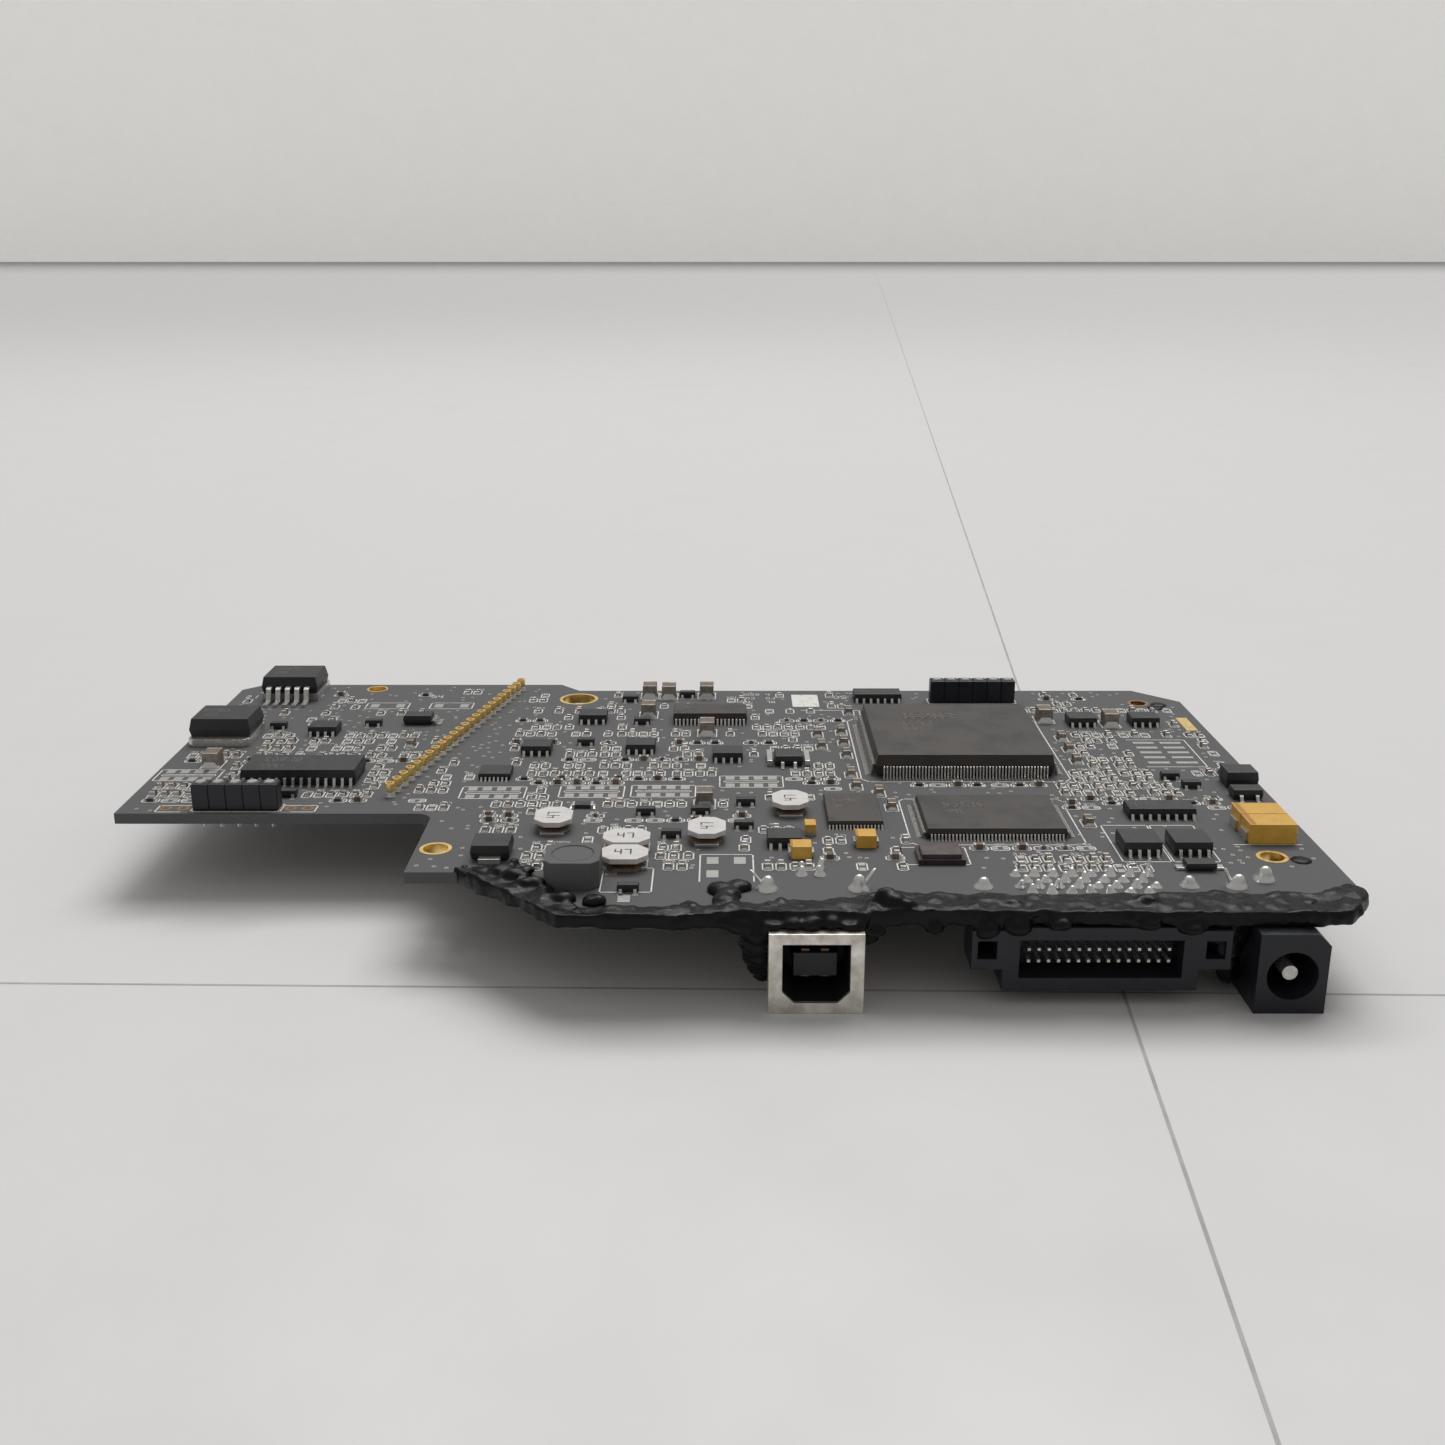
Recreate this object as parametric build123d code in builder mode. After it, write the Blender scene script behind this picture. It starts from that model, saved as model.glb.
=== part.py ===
"""Control board of a small bench spectrometer, in millimetres.

The board lies level at the height of its tallest underside connector. X runs along the
board's long side, Y from the connector edge to the back edge, and Z up. The origin is on
the floor, under the middle of the outline. Places of parts are given on the board's own
layout, whose Y zero lies datum_y from the origin.
"""
import os
from dataclasses import dataclass

from build123d import *

os.makedirs("parts", exist_ok=True)

# Overall
board_thickness = 1.6
board_half_width = 86.15
back_edge = 52.7
connector_face = -53.4
connector_height = 10.9

# Board outline, in layout places
wing_front = -15.4
notch_side = -39.3
notch_radius = 2.5
tab_front = -37.4
tab_end = -31.4
nose_start = -17.0
nose_end = -4.0
nose_front = -51.6
nose_step = 1.9
front_edge = -49.7
step_start = -27.0
step_cut = 3.6
step_edge = 48.7
back_left_cut = 3.4
back_right_cut = 7.1
front_right_cut = 4.3

# Holes through the board
mounting_holes = [(-61.1, 49.8, 3.3), (78.3, 40.6, 2.8), (78.4, -32.0, 3.4), (-36.5, -29.0, 3.6)]
large_hole = (-23.0, 43.3, 6.0)

# USB receptacle, mounted upside down under the board
usb_x = 15.0
usb_width = 12.04
usb_depth = 18.0
usb_wall = 0.4
usb_opening_width = 8.5
usb_opening_height = 8.0
usb_opening_cut = 1.5
usb_opening_depth = 9.5
usb_rim = 0.6
usb_tongue_width = 5.6
usb_tongue_height = 3.2
usb_tongue_inset = 2.3
usb_contact_width = 1.0
usb_contact_thickness = 0.3
usb_post_spacing = 12.0
usb_post_y = -42.9

# Accessory connector, thirty contacts under the board
accessory_x = 51.0
accessory_width = 24.8
accessory_height = 8.7
accessory_face = -51.4
accessory_back = -37.2
accessory_mouth_width = 20.6
accessory_mouth_height = 5.2
accessory_mouth_depth = 4.6
accessory_ear_width = 4.0
accessory_ear_height = 5.4
accessory_ear_depth = 6.0
accessory_ear_drop = 0.4
accessory_window = 2.4
accessory_pitch = 1.27
accessory_row_gap = 1.6
accessory_pin = 0.42
accessory_pin_length = 3.4
accessory_columns = 15

# Power jack under the board
jack_x = 74.6
jack_width = 8.9
jack_depth = 14.2
jack_bore = 6.5
jack_bore_depth = 9.6
jack_pin = 1.95
jack_pin_inset = 1.0
jack_corner_cut = 1.6
jack_axis_height = 5.2
jack_terminal = 2.6
jack_terminal_thickness = 0.4

# Socket strips and detector sockets on the top face
strip_pitch = 2.54
strip_width = 2.5
strip_height = 4.15
strip_contact = 1.5
strip_contact_rise = 0.15
strip_tail = 0.6
strip_tail_length = 1.3
left_strip = (-68.6, -13.05, 5)
back_strip = (48.35, 41.95, 6)
detector_start = (-47.0, -7.9)
detector_end = (-34.2, 49.1)
detector_count = 24
detector_stem = 0.95
detector_head = 1.4
detector_stem_height = 1.1
detector_head_height = 1.1

# Tab regulators
regulator_width = 10.16
regulator_length = 8.5
regulator_height = 4.4
regulator_plate = 1.3
regulator_tab = 1.3
regulator_reach = 4.6
regulator_lead_pitch = 1.7
regulator_lead_width = 0.8
regulator_lead_stock = 0.5
regulator_leads_each = 5
regulator_spots = [(-75.4, 52.2, 0), (-80.3, 15.6, 180)]

# Wire-wound inductors with white octagonal plates
drum_length = 6.5
drum_width = 5.3
drum_height = 2.0
drum_plate = 0.75
drum_base = 0.45
drum_corner = 1.5
drum_core = 3.4
drum_spots = [
    (13.2, -13.9, 90),
    (1.05, -25.2, 90),
    (-20.9, -21.0, 90),
    (-10.0, -29.0, 0),
    (-10.0, -35.0, 0),
]

# Shielded inductor, oscillator and diodes
shielded_size = 7.3
shielded_height = 3.8
shielded_corner = 1.1
shielded_dish = 5.6
shielded_dish_depth = 0.15
shielded_spot = (-16.4, -39.8, 0)
oscillator_length = 6.4
oscillator_width = 5.0
oscillator_base = 0.8
oscillator_lid = 0.6
oscillator_rim = 0.5
oscillator_spot = (32.9, -32.5, 0)
diode_length = 6.0
diode_width = 5.2
diode_height = 2.4
diode_tab = 2.8
diode_tab_reach = 0.9
diode_tab_thickness = 0.5
diode_spots = [(-28.3, -31.4, 90), (66.4, -36.6, 0)]

# Capacitors and resistors
tantalum_large = (7.3, 4.3, 2.9)
tantalum_medium = (3.5, 2.8, 1.9)
tantalum_small = (3.2, 1.6, 1.6)
tantalum_terminal = 0.35
tantalum_large_spots = [(80.0, -25.2, 0), (80.0, -20.7, 0)]
tantalum_medium_spots = [(14.0, -31.6, 0), (23.2, -27.6, 0)]
tantalum_small_spots = [(15.7, -22.9, 90)]
ceramic_tall = (3.2, 2.5, 2.4)
ceramic_tall_spots = [
    (-10.1, 45.2, 90),
    (-6.6, 44.8, 90),
    (0.3, 45.2, 90),
    (-9.8, 33.4, 90),
    (0.6, 23.1, 90),
    (0.55, -11.4, 90),
    (59.3, 30.5, 90),
    (70.2, 28.0, 90),
    (-78.3, 6.6, 90),
]
ceramic_flat = (2.0, 1.25, 1.2)
ceramic_flat_spots = [
    (19.3, 22.0, 90),
    (23.4, 23.2, 90),
    (23.4, 17.5, 90),
    (19.6, 15.5, 90),
    (23.4, 11.0, 90),
    (23.4, 1.5, 90),
    (23.8, -4.0, 90),
    (27.0, -7.0, 90),
    (28.3, -13.0, 90),
    (25.5, 34.5, 90),
    (56.0, -19.5, 90),
    (-48.5, 16.5, 90),
    (60.2, 8.0, 90),
    (60.2, 14.0, 90),
    (60.2, 20.0, 90),
]
resistor_size = (3.2, 1.6, 0.6)
resistor_spots = [(-17.5, -12.5, 0)]

# Solder joints of the underside connectors, on the top face
joint_height = 0.9
joint_taper = 24
small_joint = 1.3
large_joint = 2.6
accessory_joint_rows = [-38.3, -40.2, -42.1, -44.0]
large_joint_spots = [(37.3, -42.1), (64.3, -41.8), (70.4, -42.0), (75.3, -38.0)]
usb_signal_rows = [-38.2, -36.2]
usb_signal_spacing = 2.5

# Torn black sealant along the connector edge
sealant_rise = 0.5
sealant_overhang = 1.3

# Worked out
datum_y = -(back_edge + connector_face) / 2
underside = Plane((0, datum_y, connector_height))
deck = Plane((0, datum_y, connector_height + board_thickness))
usb_face = Plane((usb_x, connector_face + datum_y, connector_height / 2), x_dir=(1, 0, 0), z_dir=(0, -1, 0))
jack_face = Plane((jack_x, connector_face + datum_y, jack_axis_height), x_dir=(1, 0, 0), z_dir=(0, -1, 0))
accessory_middle = connector_height - accessory_height / 2
accessory_front = Plane(
    (accessory_x, accessory_face + datum_y, accessory_middle), x_dir=(1, 0, 0), z_dir=(0, -1, 0)
)


@dataclass(frozen=True)
class Package:
    """A moulded chip with gull-wing leads: two rows along X, and two more along Y if asked."""

    length: float
    width: float
    height: float
    span: float
    leads: int
    pitch: float
    lead_width: float
    stock: float = 0.2
    standoff: float = 0.15
    side_leads: int = 0


processor = Package(28.0, 28.0, 3.6, 30.6, 52, 0.5, 0.22, standoff=0.3, side_leads=52)
logic = Package(20.0, 14.0, 1.6, 16.0, 38, 0.5, 0.22, side_leads=26)
memory = Package(8.0, 11.8, 1.15, 13.4, 16, 0.5, 0.22)
converter = Package(12.8, 5.6, 2.0, 8.0, 19, 0.65, 0.3)
driver = Package(17.9, 7.5, 2.5, 10.3, 14, 1.27, 0.42)
amplifier = Package(4.9, 3.9, 1.6, 6.0, 4, 1.27, 0.42)
store = Package(5.3, 5.3, 2.0, 7.9, 4, 1.27, 0.42)
gate = Package(8.65, 3.9, 1.6, 6.0, 7, 1.27, 0.42)
mux = Package(9.9, 3.9, 1.6, 6.0, 8, 1.27, 0.42)
buffer = Package(5.0, 4.4, 1.1, 6.4, 7, 0.65, 0.26)

processor_spots = [(41.2, 14.7, 0)]
logic_spots = [(41.85, -18.5, 0)]
memory_spots = [(22.3, -15.5, 0)]
converter_spots = [(1.05, 30.9, 0)]
driver_spots = [(-62.2, 0.65, 0)]
amplifier_spots = [
    (-19.3, 30.3, 0),
    (-27.2, 13.2, 0),
    (-10.2, 14.0, 0),
    (4.05, 9.8, 0),
    (65.3, 28.5, 0),
    (76.1, 28.6, 0),
    (-64.5, 23.5, 0),
    (11.85, -27.0, 0),
]
store_spots = [(60.8, -29.05, 0), (67.7, -29.05, 0)]
gate_spots = [(31.3, 43.0, 0)]
mux_spots = [(67.2, -15.7, 0)]
buffer_spots = [(-32.3, 1.4, 0)]

# Small transistors: two leads in front, one behind
transistor = Package(2.9, 1.3, 1.1, 2.5, 2, 1.9, 0.45)
transistor_spots = [
    (-19.5, 17.0, 0),
    (-8.0, -15.5, 0),
    (0.0, -15.2, 0),
    (-57.0, 27.5, 0),
    (-73.0, 26.0, 0),
    (73.0, 0.0, 0),
    (-13.5, 42.0, 0),
    (-10.7, 28.5, 0),
    (-3.2, 44.8, 0),
    (6.7, -11.5, 0),
    (6.3, -21.0, 0),
    (-4.0, -24.5, 0),
    (-9.0, -43.5, 0),
    (75.2, -4.0, 0),
    (-62.5, -8.0, 0),
]

# Leads at or under this pitch are plain wedges
fine_pitch = 0.5

# Moulding draft and ejector marks
draft = 7
mark_diameter = 2.4
mark_depth = 0.1
mark_inset = 4.6


def on_deck(spots):
    """Locations on the board's top face for (x, y, turn) places of the layout."""
    return [deck.location * Location((x, y, 0), (0, 0, turn)) for x, y, turn in spots]


def stations(count, pitch):
    """Evenly spaced places along a line, its middle at zero."""
    return [(index - (count - 1) / 2) * pitch for index in range(count)]


def gull_wing(points, width, places):
    """Leads of one bent outline, given as (y, z) points, at each X place."""
    with BuildPart() as row:
        with BuildSketch(*[Plane.YZ.offset(x - width / 2) for x in places]):
            with BuildLine():
                Polyline(*points, close=True)
            make_face()
        extrude(amount=width)
    return row.part


def lead_row(package, count, body_edge, toe):
    """One row of a package's leads, toes towards -Y."""
    exit_height = package.standoff + (package.height - package.standoff) / 2
    foot = (toe - body_edge) * 0.5
    points = [(-toe, 0), (-toe + foot + package.stock, 0), (-body_edge, exit_height)]
    if package.pitch > fine_pitch:
        points.append((-toe + foot - package.stock * 0.4, package.stock))
    return gull_wing(points, package.lead_width, stations(count, package.pitch))


def package_body(package, marks=()):
    """Moulded body with draft above and below its parting line."""
    parting = (package.height + package.standoff) / 2
    with BuildPart() as body:
        with BuildSketch(Plane.XY.offset(parting)) as outline:
            Rectangle(package.length, package.width)
        extrude(amount=package.height - parting, taper=draft)
        extrude(outline.sketch, amount=package.standoff - parting, taper=draft)
        if marks:
            with BuildSketch(Plane.XY.offset(package.height)):
                with Locations(*marks):
                    RegularPolygon(mark_diameter / 2, 10)
            extrude(amount=-mark_depth, mode=Mode.SUBTRACT)
    return body.part


def package_leads(package):
    """All leads of one package."""
    reach = (package.span - package.width) / 2
    front = lead_row(package, package.leads, package.width / 2, package.span / 2)
    with BuildPart() as leads:
        with Locations(Location((0, 0, 0)), Location((0, 0, 0), (0, 0, 180))):
            add(front)
        if package.side_leads:
            side = lead_row(package, package.side_leads, package.length / 2, package.length / 2 + reach)
            with Locations(Location((0, 0, 0), (0, 0, 90)), Location((0, 0, 0), (0, 0, -90))):
                add(side)
    return leads.part


def block(size, lift=0.0):
    """Plain block of (length, width, height) standing at a height above the board."""
    with BuildPart() as solid:
        with BuildSketch(Plane.XY.offset(lift)):
            Rectangle(size[0], size[1])
        extrude(amount=size[2])
    return solid.part


def end_pair(spacing, length, width, height):
    """Two blocks on the board, one at each end of a body along X."""
    with BuildPart() as pair:
        with BuildSketch():
            with GridLocations(spacing, 1, 2, 1):
                Rectangle(length, width)
        extrude(amount=height)
    return pair.part


# Circuit board
with BuildPart() as circuit_board:
    with BuildSketch(underside) as outline:
        with BuildLine():
            Polyline(
                (-board_half_width, wing_front),
                (-board_half_width, back_edge - back_left_cut),
                (-board_half_width + back_left_cut, back_edge),
                (step_start, back_edge),
                (step_start + step_cut, step_edge),
                (board_half_width - back_right_cut, step_edge),
                (board_half_width, step_edge - back_right_cut),
                (board_half_width, front_edge + front_right_cut),
                (board_half_width - front_right_cut, front_edge),
                (nose_end + nose_step, front_edge),
                (nose_end, nose_front),
                (nose_start, nose_front),
                (tab_end, tab_front),
                (notch_side, tab_front),
                (notch_side, wing_front),
                close=True,
            )
        make_face()
        fillet(outline.vertices().sort_by_distance((notch_side, wing_front))[0], notch_radius)
    extrude(amount=board_thickness)
    for x, y, diameter in [*mounting_holes, large_hole]:
        with BuildSketch(underside):
            with Locations((x, y)):
                Circle(diameter / 2)
        extrude(amount=board_thickness, mode=Mode.SUBTRACT)
circuit_board.part.label = "circuit_board"
export_step(circuit_board.part, "parts/circuit_board.step")


def usb_mouth():
    """Opening of the USB receptacle, its lower corners cut."""
    with BuildSketch(Plane.XY) as mouth:
        Rectangle(usb_opening_width, usb_opening_height)
        chamfer(mouth.vertices().group_by(Axis.Y)[0], usb_opening_cut)
    return mouth.sketch


# USB receptacle
with BuildPart() as usb_shell:
    with BuildSketch(usb_face):
        Rectangle(usb_width, connector_height)
    extrude(amount=-usb_depth)
    with BuildSketch(usb_face.offset(-usb_rim)):
        Rectangle(usb_width - 2 * usb_wall, connector_height - 2 * usb_wall)
    extrude(amount=-usb_depth, mode=Mode.SUBTRACT)
    with BuildSketch(usb_face):
        add(usb_mouth())
    extrude(amount=-usb_rim, mode=Mode.SUBTRACT)
usb_shell.part.label = "usb_shell"
export_step(usb_shell.part, "parts/usb_shell.step")

with BuildPart() as usb_insulator:
    with BuildSketch(usb_face.offset(-usb_rim)):
        Rectangle(usb_width - 2 * usb_wall, connector_height - 2 * usb_wall)
    extrude(amount=usb_rim - usb_depth)
    with BuildSketch(usb_face.offset(-usb_rim)):
        add(usb_mouth())
    extrude(amount=-usb_opening_depth, mode=Mode.SUBTRACT)
    with BuildSketch(usb_face.offset(-usb_rim - usb_opening_depth)):
        Rectangle(usb_tongue_width, usb_tongue_height)
    extrude(amount=usb_opening_depth - usb_tongue_inset)
usb_insulator.part.label = "usb_insulator"
export_step(usb_insulator.part, "parts/usb_insulator.step")

usb_contact_run = usb_opening_depth - usb_tongue_inset - 0.5
with BuildPart() as usb_contacts:
    with BuildSketch(usb_face.offset(-usb_rim - usb_opening_depth)):
        for side in (-1, 1):
            with Locations((0, side * (usb_tongue_height + usb_contact_thickness) / 2)):
                with GridLocations(usb_signal_spacing, 1, 2, 1):
                    Rectangle(usb_contact_width, usb_contact_thickness)
    extrude(amount=usb_contact_run)
usb_contacts.part.label = "usb_contacts"
export_step(usb_contacts.part, "parts/usb_contacts.step")

# Accessory connector
with BuildPart() as accessory_housing:
    with BuildSketch(accessory_front):
        Rectangle(accessory_width, accessory_height)
    extrude(amount=accessory_face - accessory_back)
    with BuildSketch(accessory_front):
        Rectangle(accessory_mouth_width, accessory_mouth_height)
    extrude(amount=-accessory_mouth_depth, mode=Mode.SUBTRACT)
    ear_shift = (accessory_width + accessory_ear_width) / 2
    ear_rise = (accessory_height - accessory_ear_height) / 2 - accessory_ear_drop
    with BuildSketch(accessory_front):
        with Locations((-ear_shift, ear_rise), (ear_shift, ear_rise)):
            Rectangle(accessory_ear_width, accessory_ear_height)
            Rectangle(accessory_window, accessory_window, mode=Mode.SUBTRACT)
    extrude(amount=-accessory_ear_depth)
accessory_housing.part.label = "accessory_housing"
export_step(accessory_housing.part, "parts/accessory_housing.step")

with BuildPart() as accessory_pins:
    with BuildSketch(accessory_front.offset(-accessory_mouth_depth)):
        with GridLocations(accessory_pitch, accessory_row_gap, accessory_columns, 2):
            Rectangle(accessory_pin, accessory_pin)
    extrude(amount=accessory_pin_length)
accessory_pins.part.label = "accessory_pins"
export_step(accessory_pins.part, "parts/accessory_pins.step")

# Power jack
with BuildPart() as jack_housing:
    with BuildSketch(jack_face) as section:
        with Locations((0, connector_height / 2 - jack_axis_height)):
            Rectangle(jack_width, connector_height)
        chamfer(section.vertices().group_by(Axis.Y)[-1].sort_by(Axis.X)[-1], jack_corner_cut)
    extrude(amount=-jack_depth)
    with BuildSketch(jack_face):
        Circle(jack_bore / 2)
    extrude(amount=-jack_bore_depth, mode=Mode.SUBTRACT)
jack_housing.part.label = "jack_housing"
export_step(jack_housing.part, "parts/jack_housing.step")

with BuildPart() as jack_pin_part:
    with BuildSketch(jack_face.offset(-jack_bore_depth)):
        Circle(jack_pin / 2)
    extrude(amount=jack_bore_depth - jack_pin_inset)
jack_pin_part.part.label = "jack_pin"
export_step(jack_pin_part.part, "parts/jack_pin.step")

# Socket strips
with BuildPart() as strip_bodies:
    for x, y, count in (left_strip, back_strip):
        with BuildSketch(deck):
            with Locations((x, y)):
                Rectangle(count * strip_pitch, strip_width)
        extrude(amount=strip_height)
strip_bodies.part.label = "strip_bodies"
export_step(strip_bodies.part, "parts/strip_bodies.step")

with BuildPart() as strip_contacts:
    for x, y, count in (left_strip, back_strip):
        with BuildSketch(deck.offset(strip_height)):
            with Locations((x, y)):
                with GridLocations(strip_pitch, 1, count, 1):
                    RegularPolygon(strip_contact / 2, 6)
        extrude(amount=strip_contact_rise)
        with BuildSketch(underside):
            with Locations((x, y)):
                with GridLocations(strip_pitch, 1, count, 1):
                    RegularPolygon(strip_tail / 2, 4)
        extrude(amount=-strip_tail_length)
strip_contacts.part.label = "strip_contacts"
export_step(strip_contacts.part, "parts/strip_contacts.step")

# Detector sockets, in one straight line across the board
detector_run = Vector(*detector_end) - Vector(*detector_start)
detector_places = [
    Vector(*detector_start) + detector_run * (index / (detector_count - 1)) for index in range(detector_count)
]
with BuildPart() as detector_sockets:
    with BuildSketch(deck):
        with Locations(*detector_places):
            RegularPolygon(detector_stem / 2, 4)
    extrude(amount=detector_stem_height)
    with BuildSketch(deck.offset(detector_stem_height)):
        with Locations(*detector_places):
            RegularPolygon(detector_head / 2, 6)
    extrude(amount=detector_head_height)
detector_sockets.part.label = "detector_sockets"
export_step(detector_sockets.part, "parts/detector_sockets.step")


# Chips, each kind as a moulded body and its leads
mark_shift = processor.length / 2 - mark_inset
processor_marks = [(-mark_shift, -mark_shift), (mark_shift, mark_shift)]
chips = {
    "processor": (processor, processor_spots, processor_marks),
    "logic": (logic, logic_spots, ()),
    "memory": (memory, memory_spots, ()),
    "converter": (converter, converter_spots, ()),
    "driver": (driver, driver_spots, ()),
    "amplifier": (amplifier, amplifier_spots, ()),
    "store": (store, store_spots, ()),
    "gate": (gate, gate_spots, ()),
    "mux": (mux, mux_spots, ()),
    "buffer": (buffer, buffer_spots, ()),
}
for name, (package, spots, marks) in chips.items():
    with BuildPart() as chip_body:
        with Locations(*on_deck(spots)):
            add(package_body(package, marks))
    chip_body.part.label = f"{name}_body"
    export_step(chip_body.part, f"parts/{name}_body.step")
    with BuildPart() as chip_leads:
        with Locations(*on_deck(spots)):
            add(package_leads(package))
    chip_leads.part.label = f"{name}_leads"
    export_step(chip_leads.part, f"parts/{name}_leads.step")


# Small transistors
with BuildPart() as transistor_bodies:
    with Locations(*on_deck(transistor_spots)):
        add(block((transistor.length, transistor.width, transistor.height - transistor.standoff), transistor.standoff))
transistor_bodies.part.label = "transistor_bodies"
export_step(transistor_bodies.part, "parts/transistor_bodies.step")

with BuildPart() as transistor_lead_set:
    add(lead_row(transistor, transistor.leads, transistor.width / 2, transistor.span / 2))
    with Locations(Location((0, 0, 0), (0, 0, 180))):
        add(lead_row(transistor, transistor.leads - 1, transistor.width / 2, transistor.span / 2))
with BuildPart() as transistor_leads:
    with Locations(*on_deck(transistor_spots)):
        add(transistor_lead_set.part)
transistor_leads.part.label = "transistor_leads"
export_step(transistor_leads.part, "parts/transistor_leads.step")


def regulator_moulding():
    """Moulded body over the plate, its tab edge on the X axis."""
    with BuildPart() as moulding:
        with BuildSketch(Plane.XY.offset(regulator_plate)):
            with Locations((0, -regulator_tab - regulator_length / 2)):
                Rectangle(regulator_width, regulator_length)
        extrude(amount=regulator_height - regulator_plate, taper=draft)
    return moulding.part


def regulator_heat_tab():
    """Plate under the body, with its free edge on the X axis and cut corners."""
    with BuildPart() as plate:
        with BuildSketch(Plane.XY) as shape:
            with Locations((0, -(regulator_tab + regulator_length) / 2)):
                Rectangle(regulator_width, regulator_tab + regulator_length)
            chamfer(shape.vertices().group_by(Axis.Y)[-1], regulator_tab * 0.6)
        extrude(amount=regulator_plate)
    return plate.part


def regulator_lead_set():
    """Five formed leads from the body's front face down to the board."""
    face = regulator_tab + regulator_length
    points = [
        (-face - regulator_reach, 0),
        (-face - regulator_reach * 0.45, 0),
        (-face, regulator_plate),
        (-face, regulator_plate + regulator_lead_stock),
        (-face - regulator_reach * 0.35, regulator_plate + regulator_lead_stock),
        (-face - regulator_reach * 0.6, regulator_lead_stock),
        (-face - regulator_reach, regulator_lead_stock),
    ]
    return gull_wing(points, regulator_lead_width, stations(regulator_leads_each, regulator_lead_pitch))


# Tab regulators
with BuildPart() as regulator_bodies:
    with Locations(*on_deck(regulator_spots)):
        add(regulator_moulding())
regulator_bodies.part.label = "regulator_bodies"
export_step(regulator_bodies.part, "parts/regulator_bodies.step")

with BuildPart() as regulator_tabs:
    with Locations(*on_deck(regulator_spots)):
        add(regulator_heat_tab())
regulator_tabs.part.label = "regulator_tabs"
export_step(regulator_tabs.part, "parts/regulator_tabs.step")

with BuildPart() as regulator_leads:
    with Locations(*on_deck(regulator_spots)):
        add(regulator_lead_set())
regulator_leads.part.label = "regulator_leads"
export_step(regulator_leads.part, "parts/regulator_leads.step")


def octagon_block(lift, height, shrink=0.0):
    """Octagonal plate of the drum inductors."""
    with BuildPart() as plate:
        with BuildSketch(Plane.XY.offset(lift)) as shape:
            Rectangle(drum_length - shrink, drum_width - shrink)
            chamfer(shape.vertices(), drum_corner)
        extrude(amount=height)
    return plate.part


# Drum inductors
with BuildPart() as drum_plates:
    with Locations(*on_deck(drum_spots)):
        add(octagon_block(drum_height - drum_plate, drum_plate))
drum_plates.part.label = "drum_plates"
export_step(drum_plates.part, "parts/drum_plates.step")

with BuildPart() as drum_bases:
    with Locations(*on_deck(drum_spots)):
        add(octagon_block(0, drum_base, 0.5))
drum_bases.part.label = "drum_bases"
export_step(drum_bases.part, "parts/drum_bases.step")

with BuildPart() as drum_windings:
    with BuildSketch(deck.offset(drum_base)):
        with Locations(*[(x, y) for x, y, turn in drum_spots]):
            RegularPolygon(drum_core / 2, 8)
    extrude(amount=drum_height - drum_plate - drum_base)
drum_windings.part.label = "drum_windings"
export_step(drum_windings.part, "parts/drum_windings.step")

# Shielded inductor
with BuildPart() as shielded_inductor:
    with BuildSketch(deck) as shape:
        with Locations(shielded_spot[:2]):
            Rectangle(shielded_size, shielded_size)
        chamfer(shape.vertices(), shielded_corner)
    extrude(amount=shielded_height)
    with BuildSketch(deck.offset(shielded_height)):
        with Locations(shielded_spot[:2]):
            RegularPolygon(shielded_dish / 2, 12)
    extrude(amount=-shielded_dish_depth, mode=Mode.SUBTRACT)
shielded_inductor.part.label = "shielded_inductor"
export_step(shielded_inductor.part, "parts/shielded_inductor.step")

# Clock oscillator: ceramic base and metal lid
with BuildPart() as oscillator_base_part:
    with Locations(*on_deck([oscillator_spot])):
        add(block((oscillator_length, oscillator_width, oscillator_base)))
oscillator_base_part.part.label = "oscillator_base"
export_step(oscillator_base_part.part, "parts/oscillator_base.step")

lid_size = (oscillator_length - 2 * oscillator_rim, oscillator_width - 2 * oscillator_rim, oscillator_lid)
with BuildPart() as oscillator_lid_part:
    with Locations(*on_deck([oscillator_spot])):
        add(block(lid_size, oscillator_base))
oscillator_lid_part.part.label = "oscillator_lid"
export_step(oscillator_lid_part.part, "parts/oscillator_lid.step")

# Power diodes
with BuildPart() as diode_bodies:
    with Locations(*on_deck(diode_spots)):
        add(block((diode_length, diode_width, diode_height)))
diode_bodies.part.label = "diode_bodies"
export_step(diode_bodies.part, "parts/diode_bodies.step")

with BuildPart() as diode_tabs:
    with Locations(*on_deck(diode_spots)):
        add(end_pair(diode_length + diode_tab_reach, diode_tab_reach, diode_tab, diode_tab_thickness))
diode_tabs.part.label = "diode_tabs"
export_step(diode_tabs.part, "parts/diode_tabs.step")

# Tantalum capacitors: moulded body between two terminals
tantalum_sets = [
    (tantalum_large, tantalum_large_spots),
    (tantalum_medium, tantalum_medium_spots),
    (tantalum_small, tantalum_small_spots),
]
with BuildPart() as tantalum_bodies:
    for size, spots in tantalum_sets:
        with Locations(*on_deck(spots)):
            add(block((size[0] - 2 * tantalum_terminal, size[1], size[2])))
tantalum_bodies.part.label = "tantalum_bodies"
export_step(tantalum_bodies.part, "parts/tantalum_bodies.step")

with BuildPart() as tantalum_terminals:
    for size, spots in tantalum_sets:
        with Locations(*on_deck(spots)):
            add(end_pair(size[0] - tantalum_terminal, tantalum_terminal, size[1] * 0.6, size[2] / 2))
tantalum_terminals.part.label = "tantalum_terminals"
export_step(tantalum_terminals.part, "parts/tantalum_terminals.step")

# Ceramic capacitors and the large chip resistor
with BuildPart() as ceramic_capacitors:
    for size, spots in [(ceramic_tall, ceramic_tall_spots), (ceramic_flat, ceramic_flat_spots)]:
        with Locations(*on_deck(spots)):
            add(block(size))
ceramic_capacitors.part.label = "ceramic_capacitors"
export_step(ceramic_capacitors.part, "parts/ceramic_capacitors.step")

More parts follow.
